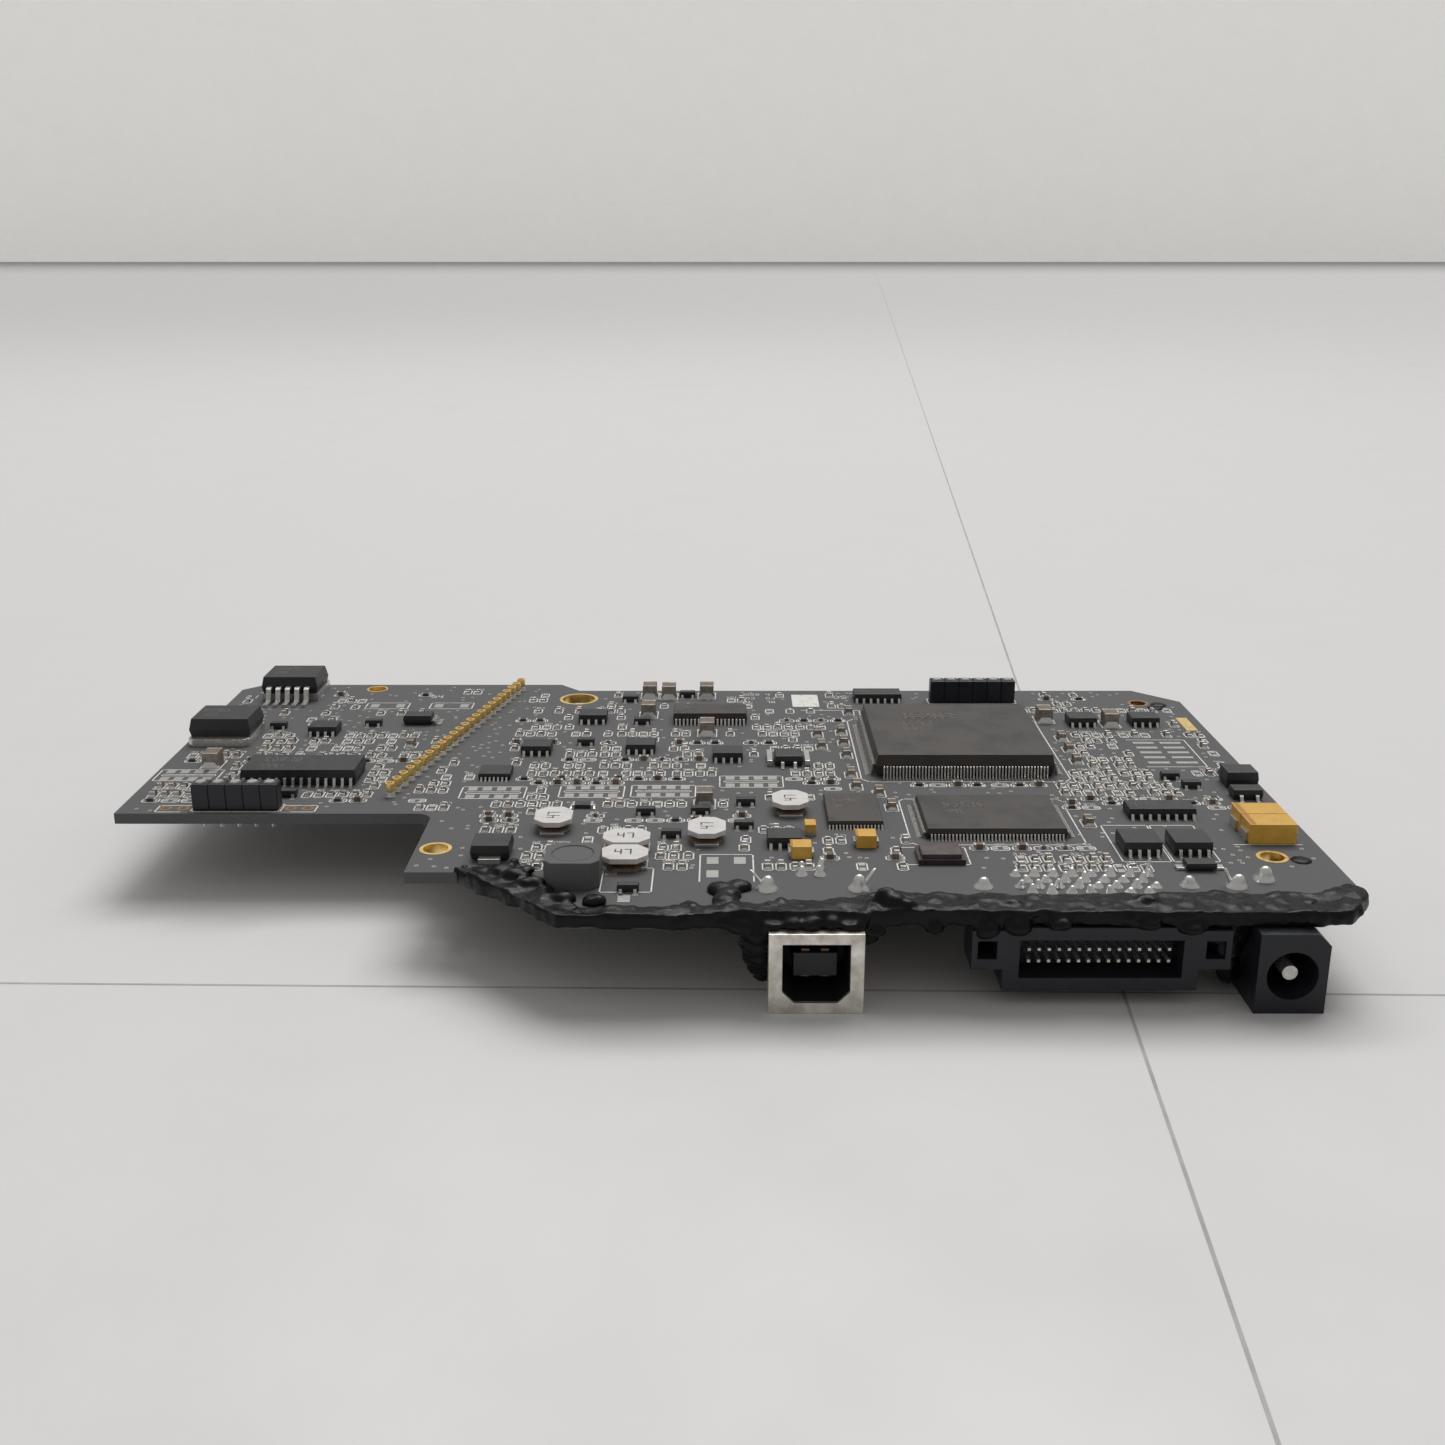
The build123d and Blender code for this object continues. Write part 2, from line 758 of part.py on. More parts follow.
with BuildPart() as chip_resistor:
    with Locations(*on_deck(resistor_spots)):
        add(block(resistor_size))
chip_resistor.part.label = "chip_resistor"
export_step(chip_resistor.part, "parts/chip_resistor.step")

# Solder joints of the underside connectors
usb_posts = [(usb_x - usb_post_spacing / 2, usb_post_y), (usb_x + usb_post_spacing / 2, usb_post_y)]
usb_signals = [(usb_x + side * usb_signal_spacing / 2, y) for side in (-1, 1) for y in usb_signal_rows]
first_column = accessory_x - 0.5 * accessory_pitch * (accessory_columns - 1)
accessory_joints = [
    (first_column + accessory_pitch * column, y)
    for row, y in enumerate(accessory_joint_rows)
    for column in range(row % 2, accessory_columns, 2)
]
with BuildPart() as solder_joints:
    with BuildSketch(deck):
        with Locations(*accessory_joints, *usb_signals):
            RegularPolygon(small_joint / 2, 4)
    extrude(amount=joint_height, taper=joint_taper)
    with BuildSketch(deck):
        with Locations(*large_joint_spots, *usb_posts):
            RegularPolygon(large_joint / 2, 8)
    extrude(amount=joint_height, taper=joint_taper)
solder_joints.part.label = "solder_joints"
export_step(solder_joints.part, "parts/solder_joints.step")

# Torn black sealant: over the edge of the top face and down to the connectors
with BuildPart() as sealant:
    with BuildSketch(underside):
        with BuildLine():
            Polyline(
                (-32.6, -37.0),
                (-28.0, -36.4),
                (-24.0, -40.5),
                (-19.5, -45.5),
                (-14.0, -49.4),
                (-4.0, -49.6),
                (3.0, -48.2),
                (8.0, -48.0),
                (14.0, -47.2),
                (20.0, -46.2),
                (25.0, -44.4),
                (28.0, -45.0),
                (48.0, -45.3),
                (60.0, -45.0),
                (67.0, -44.6),
                (75.0, -44.7),
                (80.0, -45.2),
                (84.5, -42.4),
                (board_half_width, -44.0),
                (board_half_width, front_edge + front_right_cut - 0.5),
                (board_half_width - front_right_cut + 0.4, front_edge - sealant_overhang),
                (60.0, front_edge - sealant_overhang - 0.3),
                (30.0, front_edge - sealant_overhang + 0.2),
                (5.0, front_edge - sealant_overhang),
                (nose_end + 1.5, nose_front - 0.6),
                (nose_start - 0.4, nose_front - 0.5),
                (tab_end - 0.4, tab_front - 0.5),
                close=True,
            )
        make_face()
    extrude(amount=board_thickness + sealant_rise)
    with BuildSketch(underside):
        add(outline.sketch_local)
    extrude(amount=board_thickness, mode=Mode.SUBTRACT)
sealant.part.label = "sealant"
export_step(sealant.part, "parts/sealant.step")
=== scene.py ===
"""Looks of a spectrometer control board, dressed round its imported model.

Sizes are in millimetres on the board's own layout, whose X zero is the middle of the board
and whose Y zero lies a little behind the origin. Meshes are written in metres.
"""

import logging
import math
import random
from collections.abc import Sequence
from dataclasses import dataclass, field
from enum import Enum

import bpy
from mathutils import Matrix, Vector


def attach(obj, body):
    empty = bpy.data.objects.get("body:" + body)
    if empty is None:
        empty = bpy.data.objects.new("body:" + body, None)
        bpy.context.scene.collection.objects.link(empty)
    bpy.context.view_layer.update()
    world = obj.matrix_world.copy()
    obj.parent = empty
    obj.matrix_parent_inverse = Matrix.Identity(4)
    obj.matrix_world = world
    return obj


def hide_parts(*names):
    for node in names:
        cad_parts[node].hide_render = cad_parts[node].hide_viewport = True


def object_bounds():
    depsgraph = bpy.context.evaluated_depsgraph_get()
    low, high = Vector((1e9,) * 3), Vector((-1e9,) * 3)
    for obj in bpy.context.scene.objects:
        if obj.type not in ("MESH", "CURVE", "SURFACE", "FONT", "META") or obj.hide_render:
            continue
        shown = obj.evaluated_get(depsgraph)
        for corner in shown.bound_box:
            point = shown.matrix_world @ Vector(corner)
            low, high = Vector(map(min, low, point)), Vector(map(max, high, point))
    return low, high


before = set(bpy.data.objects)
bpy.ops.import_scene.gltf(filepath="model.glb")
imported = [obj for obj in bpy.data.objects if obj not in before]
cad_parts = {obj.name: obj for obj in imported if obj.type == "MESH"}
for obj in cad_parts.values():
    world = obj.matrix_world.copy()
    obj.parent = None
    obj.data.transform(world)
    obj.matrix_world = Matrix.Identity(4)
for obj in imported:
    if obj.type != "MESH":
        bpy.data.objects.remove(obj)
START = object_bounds()
MM = 0.001
WELD = 0.001 * MM
LOG = logging.getLogger("control_board")

# A place or size in two directions, a place with its turn in degrees, and a colour
Point = tuple[float, float]
Spot = tuple[float, float, float]
Tone = tuple[float, float, float]
Outline = Sequence[Point]
Spots = Sequence[Spot]
Nodes = tuple[str, ...]
Piece = bpy.types.Object


class Wire:
    """One socket of a material's node tree, with arithmetic that adds Math nodes."""

    def __init__(self, recipe: "Recipe", socket: bpy.types.NodeSocket) -> None:
        """Keeps the socket and the recipe that it belongs to."""
        self.recipe = recipe
        self.socket = socket

    def _math(self, operation: str, first: "Wire | float", second: "Wire | float") -> "Wire":
        """Adds one Math node.

        Args:
            operation: Name of the Math operation.
            first: First value.
            second: Second value.

        Returns:
            The node's result.
        """
        return self.recipe.node("Math", {"operation": operation}, {0: first, 1: second})

    def __add__(self, other: "Wire | float") -> "Wire":
        """Sum."""
        return self._math("ADD", self, other)

    def __rsub__(self, other: float) -> "Wire":
        """Difference from a number."""
        return self._math("SUBTRACT", other, self)

    def __mul__(self, other: "Wire | float") -> "Wire":
        """Product."""
        return self._math("MULTIPLY", self, other)

    def __gt__(self, other: float) -> "Wire":
        """One where the value is above a number, else zero."""
        return self._math("GREATER_THAN", self, other)

    def __lt__(self, other: float) -> "Wire":
        """One where the value is below a number, else zero."""
        return self._math("LESS_THAN", self, other)

    __radd__ = __add__
    __rmul__ = __mul__


class Recipe:
    """A material under construction."""

    def __init__(self, name: str) -> None:
        """Starts an empty material with its shader and output.

        Args:
            name: The material's name.
        """
        self.material = bpy.data.materials.new(name)
        self.material.use_nodes = True
        self.tree = self.material.node_tree
        self.shader = self.tree.nodes["Principled BSDF"]

    def node(self, kind: str, settings: dict, values: dict, result: int | str = 0) -> Wire:
        """Adds one node.

        Args:
            kind: Node type without its ShaderNode prefix.
            settings: Attributes set first, a ramp's stops under "stops".
            values: Socket values or wires, by socket name or number.
            result: Output socket to hand back.

        Returns:
            The chosen output.
        """
        made = self.tree.nodes.new("ShaderNode" + kind)
        for key, value in settings.items():
            if key == "stops":
                self._stops(made, value)
            else:
                setattr(made, key, value)
        for key, value in values.items():
            self._feed(made.inputs[key], value)
        return Wire(self, made.outputs[result])

    def _stops(self, ramp: bpy.types.Node, stops: list) -> None:
        """Sets a colour ramp's stops.

        Args:
            ramp: The ramp's node.
            stops: Its stops, as (position, colour) pairs.
        """
        elements = ramp.color_ramp.elements
        while len(elements) < len(stops):
            elements.new(0.5)
        for element, (position, colour) in zip(elements, stops):
            element.position = position
            element.color = (*colour, 1.0)

    def _feed(self, socket: bpy.types.NodeSocket, value: object) -> None:
        """Links a wire to a socket, or sets its value.

        Args:
            socket: The input to feed.
            value: A wire, a number, a vector or a colour.
        """
        if isinstance(value, Wire):
            self.tree.links.new(value.socket, socket)
        elif isinstance(value, tuple) and len(value) == 3 and socket.type == "RGBA":
            socket.default_value = (*value, 1.0)
        else:
            socket.default_value = value

    def where(self) -> Wire:
        """Object coordinates, in metres."""
        return self.node("TexCoord", {}, {}, "Object")

    def noise(self, grain_mm: float, detail: float = 3.0, roughness: float = 0.55) -> Wire:
        """Noise with features of about one grain.

        Args:
            grain_mm: Size of the features.
            detail: Octaves.
            roughness: Weight of the finer octaves.

        Returns:
            The noise value.
        """
        values = {"Vector": self.where(), "Scale": 1 / (grain_mm * MM)}
        values |= {"Detail": detail, "Roughness": roughness}
        return self.node("TexNoise", {}, values, "Fac")

    def mix(self, amount: "Wire | float", first: object, second: object) -> Wire:
        """Blend of two colours, by socket order of the Mix node's colour mode."""
        return self.node("Mix", {"data_type": "RGBA"}, {0: amount, 6: first, 7: second}, 2)

    def ramp(self, value: Wire, low: float, high: float) -> Wire:
        """Value stretched so that low becomes zero and high becomes one, held within them."""
        values = {"Value": value, "From Min": low, "From Max": high}
        return self.node("MapRange", {"clamp": True}, values)

    def height(self) -> Wire:
        """Height above the floor, in millimetres."""
        return self.node("SeparateXYZ", {}, {0: self.where()}, "Z") * (1 / MM)

    def bump(self, value: Wire, strength: float, depth_mm: float) -> None:
        """Feeds a bump of the given depth to the shader's normal."""
        values = {"Strength": strength, "Distance": depth_mm * MM, "Height": value}
        self.set(Normal=self.node("Bump", {}, values))

    def set(self, **values: object) -> None:
        """Sets or links the shader's sockets, written with underscores for spaces."""
        for key, value in values.items():
            self._feed(self.shader.inputs[key.replace("_", " ")], value)


@dataclass(frozen=True)
class Finish:
    """A surface of two blended tones, with its own range of roughness, grain and relief."""

    name: str
    tone: Tone
    other: Tone
    gloss: Point
    grain: float = 1.0
    metal: float = 0.0
    relief: float = 0.0
    relief_grain: float = 0.2
    shine: float = 0.5

    def material(self) -> bpy.types.Material:
        """Builds the material.

        Returns:
            A material with blended tones, uneven gloss and a fine relief.
        """
        recipe = Recipe(self.name)
        cloud = recipe.ramp(recipe.noise(self.grain), 0.3, 0.7)
        low, high = self.gloss
        recipe.set(
            Base_Color=recipe.mix(cloud, self.tone, self.other),
            Roughness=cloud * (high - low) + low,
            Metallic=self.metal,
            Specular_IOR_Level=self.shine,
        )
        if self.relief:
            recipe.bump(recipe.noise(self.relief_grain, 4.0), 0.6, self.relief)
        return recipe.material


@dataclass(frozen=True)
class MaskFinish:
    """Solder mask over laminate: tracks under the mask, dust and bare edges."""

    name: str = "solder_mask"
    mask: Tone = (0.022, 0.0215, 0.021)
    track: Tone = (0.036, 0.035, 0.034)
    dust: Tone = (0.085, 0.078, 0.068)
    edge: Tone = (0.110, 0.106, 0.062)
    weave: Tone = (0.045, 0.044, 0.028)
    low_edge: float = 10.96
    high_edge: float = 12.44
    patch: float = 9.0
    track_pitch: float = 0.42
    track_share: float = 0.55
    dust_share: float = 0.35

    def material(self) -> bpy.types.Material:
        """Builds the material.

        Returns:
            The board's material.
        """
        recipe = Recipe(self.name)
        cells = {"Vector": recipe.where(), "Scale": 1 / (self.patch * MM)}
        patches = recipe.node("TexVoronoi", {"distance": "CHEBYCHEV"}, cells, "Color")
        turn = recipe.node("SeparateColor", {}, {0: patches}, 0) > 0.5
        place = recipe.where()
        along = recipe.node("SeparateXYZ", {}, {0: place}, "X")
        across = recipe.node("SeparateXYZ", {}, {0: place}, "Y")
        line = (along * turn + across * (1 - turn)) * (1 / (self.track_pitch * MM))
        wave = recipe.node("Math", {"operation": "FRACT"}, {0: line})
        busy = recipe.ramp(recipe.noise(7.0, 2.0), 0.46, 0.52)
        tracks = (wave > self.track_share) * busy
        edge = (recipe.height() > self.low_edge) * (recipe.height() < self.high_edge)
        dust = recipe.ramp(recipe.noise(2.6, 6.0, 0.7), 0.52, 0.85) * self.dust_share
        colour = recipe.mix(tracks, self.mask, self.track)
        colour = recipe.mix(dust, colour, self.dust)
        weave = recipe.mix(recipe.noise(0.25), self.edge, self.weave)
        recipe.set(
            Base_Color=recipe.mix(edge, colour, weave),
            Roughness=0.33 + dust * 0.5 + edge * 0.3,
        )
        recipe.bump(tracks * 0.6 + recipe.noise(0.5) * 0.25, 0.35, 0.03)
        return recipe.material


@dataclass(frozen=True)
class PrintFinish:
    """White printed lines, worn thin in places."""

    name: str = "legend_white"
    thin: Tone = (0.42, 0.41, 0.38)
    full: Tone = (0.78, 0.77, 0.73)

    def material(self) -> bpy.types.Material:
        """Builds the material.

        Returns:
            A pale ink whose tone falls off where it is worn.
        """
        recipe = Recipe(self.name)
        wear = recipe.ramp(recipe.noise(0.8, 5.0), 0.28, 0.48)
        recipe.set(Base_Color=recipe.mix(wear, self.thin, self.full), Roughness=0.6)
        return recipe.material


class Stock(Enum):
    """Every finish on the board, with the record's slot that it belongs to."""

    MASK = ("solder_mask", MaskFinish())
    INK = ("solder_mask", PrintFinish())
    EPOXY = (
        "black_moulding",
        Finish(
            "chip_epoxy", (0.016, 0.016, 0.018), (0.026, 0.025, 0.026), (0.4, 0.56),
            grain=1.6, relief=0.012, relief_grain=0.12,
        ),
    )
    BROWNED = (
        "black_moulding",
        Finish(
            "worn_epoxy", (0.024, 0.022, 0.022), (0.052, 0.04, 0.03), (0.38, 0.55),
            grain=6.0, relief=0.012, relief_grain=0.12,
        ),
    )
    PALE_MARK = (
        "black_moulding",
        Finish("chip_marking", (0.2, 0.185, 0.17), (0.1, 0.09, 0.085), (0.6, 0.7), grain=0.6),
    )
    TIN = (
        "tinned_leads",
        Finish("tinned_lead", (0.72, 0.71, 0.67), (0.46, 0.45, 0.43), (0.24, 0.4), grain=0.5, metal=0.8),
    )
    SOLDER = (
        "solder",
        Finish(
            "solder", (0.95, 0.94, 0.91), (0.5, 0.49, 0.46), (0.1, 0.26),
            grain=0.5, metal=0.95, relief=0.1, relief_grain=0.35,
        ),
    )
    FIRED = (
        "tinned_leads",
        Finish("fired_end", (0.42, 0.385, 0.34), (0.25, 0.225, 0.195), (0.38, 0.55), grain=0.8, metal=0.7),
    )
    PAD = (
        "solder",
        Finish("tinned_pad", (0.6, 0.59, 0.55), (0.4, 0.39, 0.36), (0.28, 0.45), grain=0.6, metal=0.7),
    )
    GOLD = (
        "gold_plating",
        Finish("gold", (1.0, 0.77, 0.34), (0.9, 0.62, 0.22), (0.26, 0.4), grain=0.9, metal=0.95),
    )
    COPPER = (
        "gold_plating",
        Finish("copper_land", (0.42, 0.25, 0.12), (0.25, 0.16, 0.08), (0.3, 0.5), metal=0.9),
    )
    SHELL = (
        "steel_shell",
        Finish(
            "worn_nickel", (0.86, 0.84, 0.79), (0.56, 0.52, 0.45), (0.3, 0.5),
            grain=1.8, metal=0.8, relief=0.03, relief_grain=0.5,
        ),
    )
    INSULATOR = (
        "dark_insulator",
        Finish("insulator", (0.012, 0.012, 0.013), (0.02, 0.02, 0.021), (0.4, 0.55)),
    )
    CONNECTOR = (
        "black_connector",
        Finish(
            "connector_black", (0.009, 0.01, 0.014), (0.016, 0.018, 0.024), (0.36, 0.5),
            grain=2.0, relief=0.015, shine=0.4,
        ),
    )
    WHITE = (
        "white_plate",
        Finish(
            "white_ceramic", (0.74, 0.73, 0.71), (0.64, 0.61, 0.58), (0.4, 0.55),
            grain=1.5, relief=0.01,
        ),
    )
    FERRITE = (
        "pale_ferrite",
        Finish("base_ferrite", (0.26, 0.2, 0.15), (0.15, 0.12, 0.09), (0.45, 0.6), grain=0.7),
    )
    WINDING = (
        "copper_winding",
        Finish("winding", (0.3, 0.14, 0.07), (0.12, 0.06, 0.03), (0.3, 0.4), grain=0.3, metal=0.6),
    )
    GREY = (
        "grey_ferrite",
        Finish(
            "grey_ferrite", (0.05, 0.05, 0.051), (0.08, 0.079, 0.078), (0.4, 0.55),
            grain=1.3, relief=0.02, relief_grain=0.15,
        ),
    )
    CERAMIC = (
        "oscillator_ceramic",
        Finish("brown_ceramic", (0.034, 0.019, 0.024), (0.052, 0.032, 0.036), (0.3, 0.45), grain=1.2),
    )
    LID = (
        "oscillator_metal",
        Finish("dull_lid", (0.075, 0.056, 0.055), (0.11, 0.086, 0.082), (0.34, 0.5), grain=1.5, metal=0.3),
    )
    YELLOW = (
        "tantalum_yellow",
        Finish(
            "yellow_moulding", (0.8, 0.47, 0.075), (0.66, 0.36, 0.05), (0.3, 0.42),
            grain=1.8, relief=0.01,
        ),
    )
    DARK_YELLOW = (
        "tantalum_yellow",
        Finish("yellow_marking", (0.5, 0.22, 0.03), (0.42, 0.18, 0.02), (0.5, 0.6)),
    )
    TAN = ("ceramic_brown", Finish("tan_ceramic", (0.21, 0.155, 0.11), (0.14, 0.1, 0.072), (0.34, 0.5)))
    BROWN = (
        "ceramic_brown",
        Finish("brown_chip", (0.15, 0.1, 0.07), (0.1, 0.068, 0.048), (0.34, 0.5), grain=0.9),
    )
    RESISTOR = (
        "resistor_black",
        Finish("resistor_top", (0.028, 0.028, 0.032), (0.05, 0.05, 0.052), (0.3, 0.45), grain=0.6),
    )
    SEALANT = (
        "sealant_black",
        Finish(
            "torn_sealant", (0.003, 0.003, 0.0035), (0.007, 0.007, 0.007), (0.18, 0.48),
            grain=1.3, relief=0.08, relief_grain=0.9, shine=0.18,
        ),
    )

    @property
    def slot(self) -> str:
        """The record's slot."""
        return self.value[0]

    def material(self) -> bpy.types.Material:
        """The finish's material, made once."""
        finish = self.value[1]
        return bpy.data.materials.get(finish.name) or finish.material()


class Bench:
    """Modelling moves made with Blender's operators, on meshes in metres."""

    @staticmethod
    def clear() -> None:
        """Deselects everything."""
        bpy.ops.object.select_all(action="DESELECT")

    @staticmethod
    def pick(piece: Piece) -> None:
        """Selects one piece alone and makes it active.

        Args:
            piece: The piece to work on.
        """
        Bench.clear()
        piece.select_set(True)
        bpy.context.view_layer.objects.active = piece

    @staticmethod
    def loft(outline: Outline, levels: list[Point]) -> Piece:
        """A closed solid grown upwards from one outline.

        Args:
            outline: Corners of the first section, in millimetres.
            levels: Height of each section and its scale against the first.

        Returns:
            The solid.
        """
        Bench.clear()
        bpy.ops.mesh.primitive_circle_add(vertices=len(outline), radius=MM, fill_type="NGON")
        piece = bpy.context.active_object
        for vertex, (x, y) in zip(piece.data.vertices, outline):
            vertex.co = (x * MM * levels[0][1], y * MM * levels[0][1], levels[0][0] * MM)
        bpy.ops.object.mode_set(mode="EDIT")
        bpy.ops.mesh.select_all(action="SELECT")
        for (low, first), (high, second) in zip(levels, levels[1:]):
            bpy.ops.mesh.extrude_region_move(TRANSFORM_OT_translate={"value": (0, 0, (high - low) * MM)})
            ratio = second / first
            if ratio != 1:
                bpy.ops.transform.resize(value=(ratio, ratio, 1), center_override=(0, 0, high * MM))
        bpy.ops.mesh.select_all(action="SELECT")
        bpy.ops.mesh.normals_make_consistent(inside=False)
        bpy.ops.object.mode_set(mode="OBJECT")
        return piece

    @staticmethod
    def block(
        length: float, width: float, low: float, high: float, draft: float = 1.0, soft: float = 0.0
    ) -> Piece:
        """A moulded block, widest at its middle.

        Args:
            length: Size along X.
            width: Size along Y.
            low: Bottom.
            high: Top.
            draft: Scale of the top and bottom against the middle.
            soft: Width of the rounded edges.

        Returns:
            The block.
        """
        middle = (low + high) / 2
        levels = [(low, draft), (middle, 1.0), (high, draft)] if draft < 1 else [(low, 1.0), (high, 1.0)]
        piece = Bench.loft(Bench.oblong(length, width), levels)
        if soft:
            Bench.soften(piece, soft)
        return piece

    @staticmethod
    def land(length: float, width: float, rise: float, depth: float = 0.05) -> Piece:
        """A copper land, a little proud of the mask and sunk into it."""
        return Bench.block(length, width, -depth, rise)

    @staticmethod
    def oblong(length: float, width: float, cut: float = 0.0) -> list[Point]:
        """Corners of an oblong about the origin.

        Args:
            length: Size along X.
            width: Size along Y.
            cut: How much of each corner is cut off.

        Returns:
            Four corners, or eight where they are cut.
        """
        x, y = length / 2, width / 2
        if not cut:
            return [(-x, -y), (x, -y), (x, y), (-x, y)]
        return [
            (-x + cut, -y), (x - cut, -y), (x, -y + cut), (x, y - cut),
            (x - cut, y), (-x + cut, y), (-x, y - cut), (-x, -y + cut),
        ]

    @staticmethod
    def strip(outline: Outline, width: float) -> Piece:
        """A bent strip.

        Args:
            outline: Its side view, in the YZ plane.
            width: Its size along X.

        Returns:
            The strip.
        """
        piece = Bench.loft(outline, [(-width / 2, 1.0), (width / 2, 1.0)])
        piece.data.transform(Matrix(((0, 0, 1, 0), (1, 0, 0, 0), (0, 1, 0, 0), (0, 0, 0, 1))))
        return piece

    @staticmethod
    def turned(profile: Outline, sides: int = 16) -> Piece:
        """A turned solid, closed at both ends.

        Args:
            profile: Its (radius, height) points, from the bottom.
            sides: Facets round it.

        Returns:
            The solid.
        """
        first = profile[0][0]
        ring = [
            (first * math.cos(2 * math.pi * k / sides), first * math.sin(2 * math.pi * k / sides))
            for k in range(sides)
        ]
        return Bench.loft(ring, [(height, radius / first) for radius, height in profile])

    @staticmethod
    def ring(inner: float, outer: float, low: float, high: float, sides: int = 32) -> Piece:
        """A short tube.

        Args:
            inner: Inner radius.
            outer: Outer radius.
            low: Bottom.
            high: Top.
            sides: Facets round it.

        Returns:
            The tube.
        """
        Bench.clear()
        bpy.ops.mesh.primitive_circle_add(vertices=sides, radius=inner * MM, location=(0, 0, low * MM))
        piece = bpy.context.active_object
        bpy.ops.object.transform_apply(location=True, rotation=False, scale=False)
        bpy.ops.object.mode_set(mode="EDIT")
        bpy.ops.mesh.select_all(action="SELECT")
        rise = (0, 0, (high - low) * MM)
        bpy.ops.mesh.extrude_edges_move(TRANSFORM_OT_translate={"value": rise})
        bpy.ops.mesh.extrude_edges_move(TRANSFORM_OT_translate={"value": (0, 0, 0)})
        bpy.ops.transform.resize(value=(outer / inner, outer / inner, 1), center_override=(0, 0, high * MM))
        bpy.ops.mesh.extrude_edges_move(TRANSFORM_OT_translate={"value": (0, 0, -rise[2])})
        bpy.ops.mesh.select_all(action="DESELECT")
        bpy.ops.mesh.select_non_manifold()
        bpy.ops.mesh.bridge_edge_loops()
        bpy.ops.mesh.select_all(action="SELECT")
        bpy.ops.mesh.normals_make_consistent(inside=False)
        bpy.ops.object.mode_set(mode="OBJECT")
        return piece

    @staticmethod
    def bevel(piece: Piece, width: float, angle: float) -> bpy.types.Modifier:
        """Adds a rounding of the sharp edges.

        Args:
            piece: The piece to round.
            width: Width of the rounding.
            angle: Angle from which an edge is rounded, in degrees.

        Returns:
            The modifier.
        """
        edges = piece.modifiers.new("edges", "BEVEL")
        edges.width = width * MM
        edges.segments = 2
        edges.limit_method = "ANGLE"
        edges.angle_limit = math.radians(angle)
        return edges

    @staticmethod
    def soften(piece: Piece, width: float, angle: float = 28.0) -> None:
        """Rounds the sharp edges of a piece and applies it."""
        Bench.pick(piece)
        bpy.ops.object.modifier_apply(modifier=Bench.bevel(piece, width, angle).name)

    @staticmethod
    def spread(master: Piece, places: list[Matrix]) -> Piece:
        """Copies of one piece at many places, joined, with the master gone.

        Args:
            master: The piece to copy.
            places: A matrix for each copy.

        Returns:
            The joined copies.
        """
        copies = []
        for place in places:
            mesh = master.data.copy()
            mesh.transform(place)
            copy = bpy.data.objects.new(master.name, mesh)
            bpy.context.collection.objects.link(copy)
            copies.append(copy)
        bpy.data.objects.remove(master)
        return Bench.join(copies)

    @staticmethod
    def join(pieces: list[Piece]) -> Piece:
        """Makes several pieces one.

        Args:
            pieces: The pieces.

        Returns:
            The first, which holds all of them.
        """
        Bench.clear()
        for piece in pieces:
            piece.select_set(True)
        bpy.context.view_layer.objects.active = pieces[0]
        if len(pieces) > 1:
            bpy.ops.object.join()
        return pieces[0]

    @staticmethod
    def from_node(node: Piece) -> Piece:
        """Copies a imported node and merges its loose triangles.

        Args:
            node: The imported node.

        Returns:
            The copy, closed and undressed.
        """
        piece = bpy.data.objects.new(node.name + "_copy", node.data.copy())
        bpy.context.collection.objects.link(piece)
        Bench.pick(piece)
        bpy.ops.object.mode_set(mode="EDIT")
        bpy.ops.mesh.select_all(action="SELECT")
        bpy.ops.mesh.remove_doubles(threshold=WELD)
        bpy.ops.mesh.dissolve_limited(angle_limit=math.radians(1))
        bpy.ops.object.mode_set(mode="OBJECT")
        piece.data.materials.clear()
        return piece

    @staticmethod
    def keep(name: str, stock: Stock, soft: float = 0.0) -> None:
        """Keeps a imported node, dressed.

        Args:
            name: The node's name.
            stock: Its finish.
            soft: Width of its rounded edges, made by live modifiers.
        """
        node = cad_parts[name]
        for place in node.material_slots:
            place.material = stock.material()
        if soft:
            weld = node.modifiers.new("weld", "WELD")
            weld.merge_threshold = WELD
            Bench.bevel(node, soft, 40)
        LOG.info("%s: kept as packed", name)

    @staticmethod
    def finish(piece: Piece, name: str, stock: Stock, nodes: Nodes = (), smooth: float = 0.0) -> None:
        """Names, dresses and seats a finished piece.

        Args:
            piece: The finished mesh.
            name: Its name.
            stock: Its finish.
            nodes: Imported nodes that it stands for.
            smooth: Angle under which faces are shaded smooth, in degrees.
        """
        piece.name = name
        piece.data.name = name
        piece.data.materials.clear()
        piece.data.materials.append(stock.material())
        if smooth:
            Bench.pick(piece)
            bpy.ops.object.shade_smooth_by_angle(angle=math.radians(smooth))
        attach(piece, "root")
        if nodes:
            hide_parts(*nodes)
        LOG.info("%s: %d faces", name, len(piece.data.polygons))


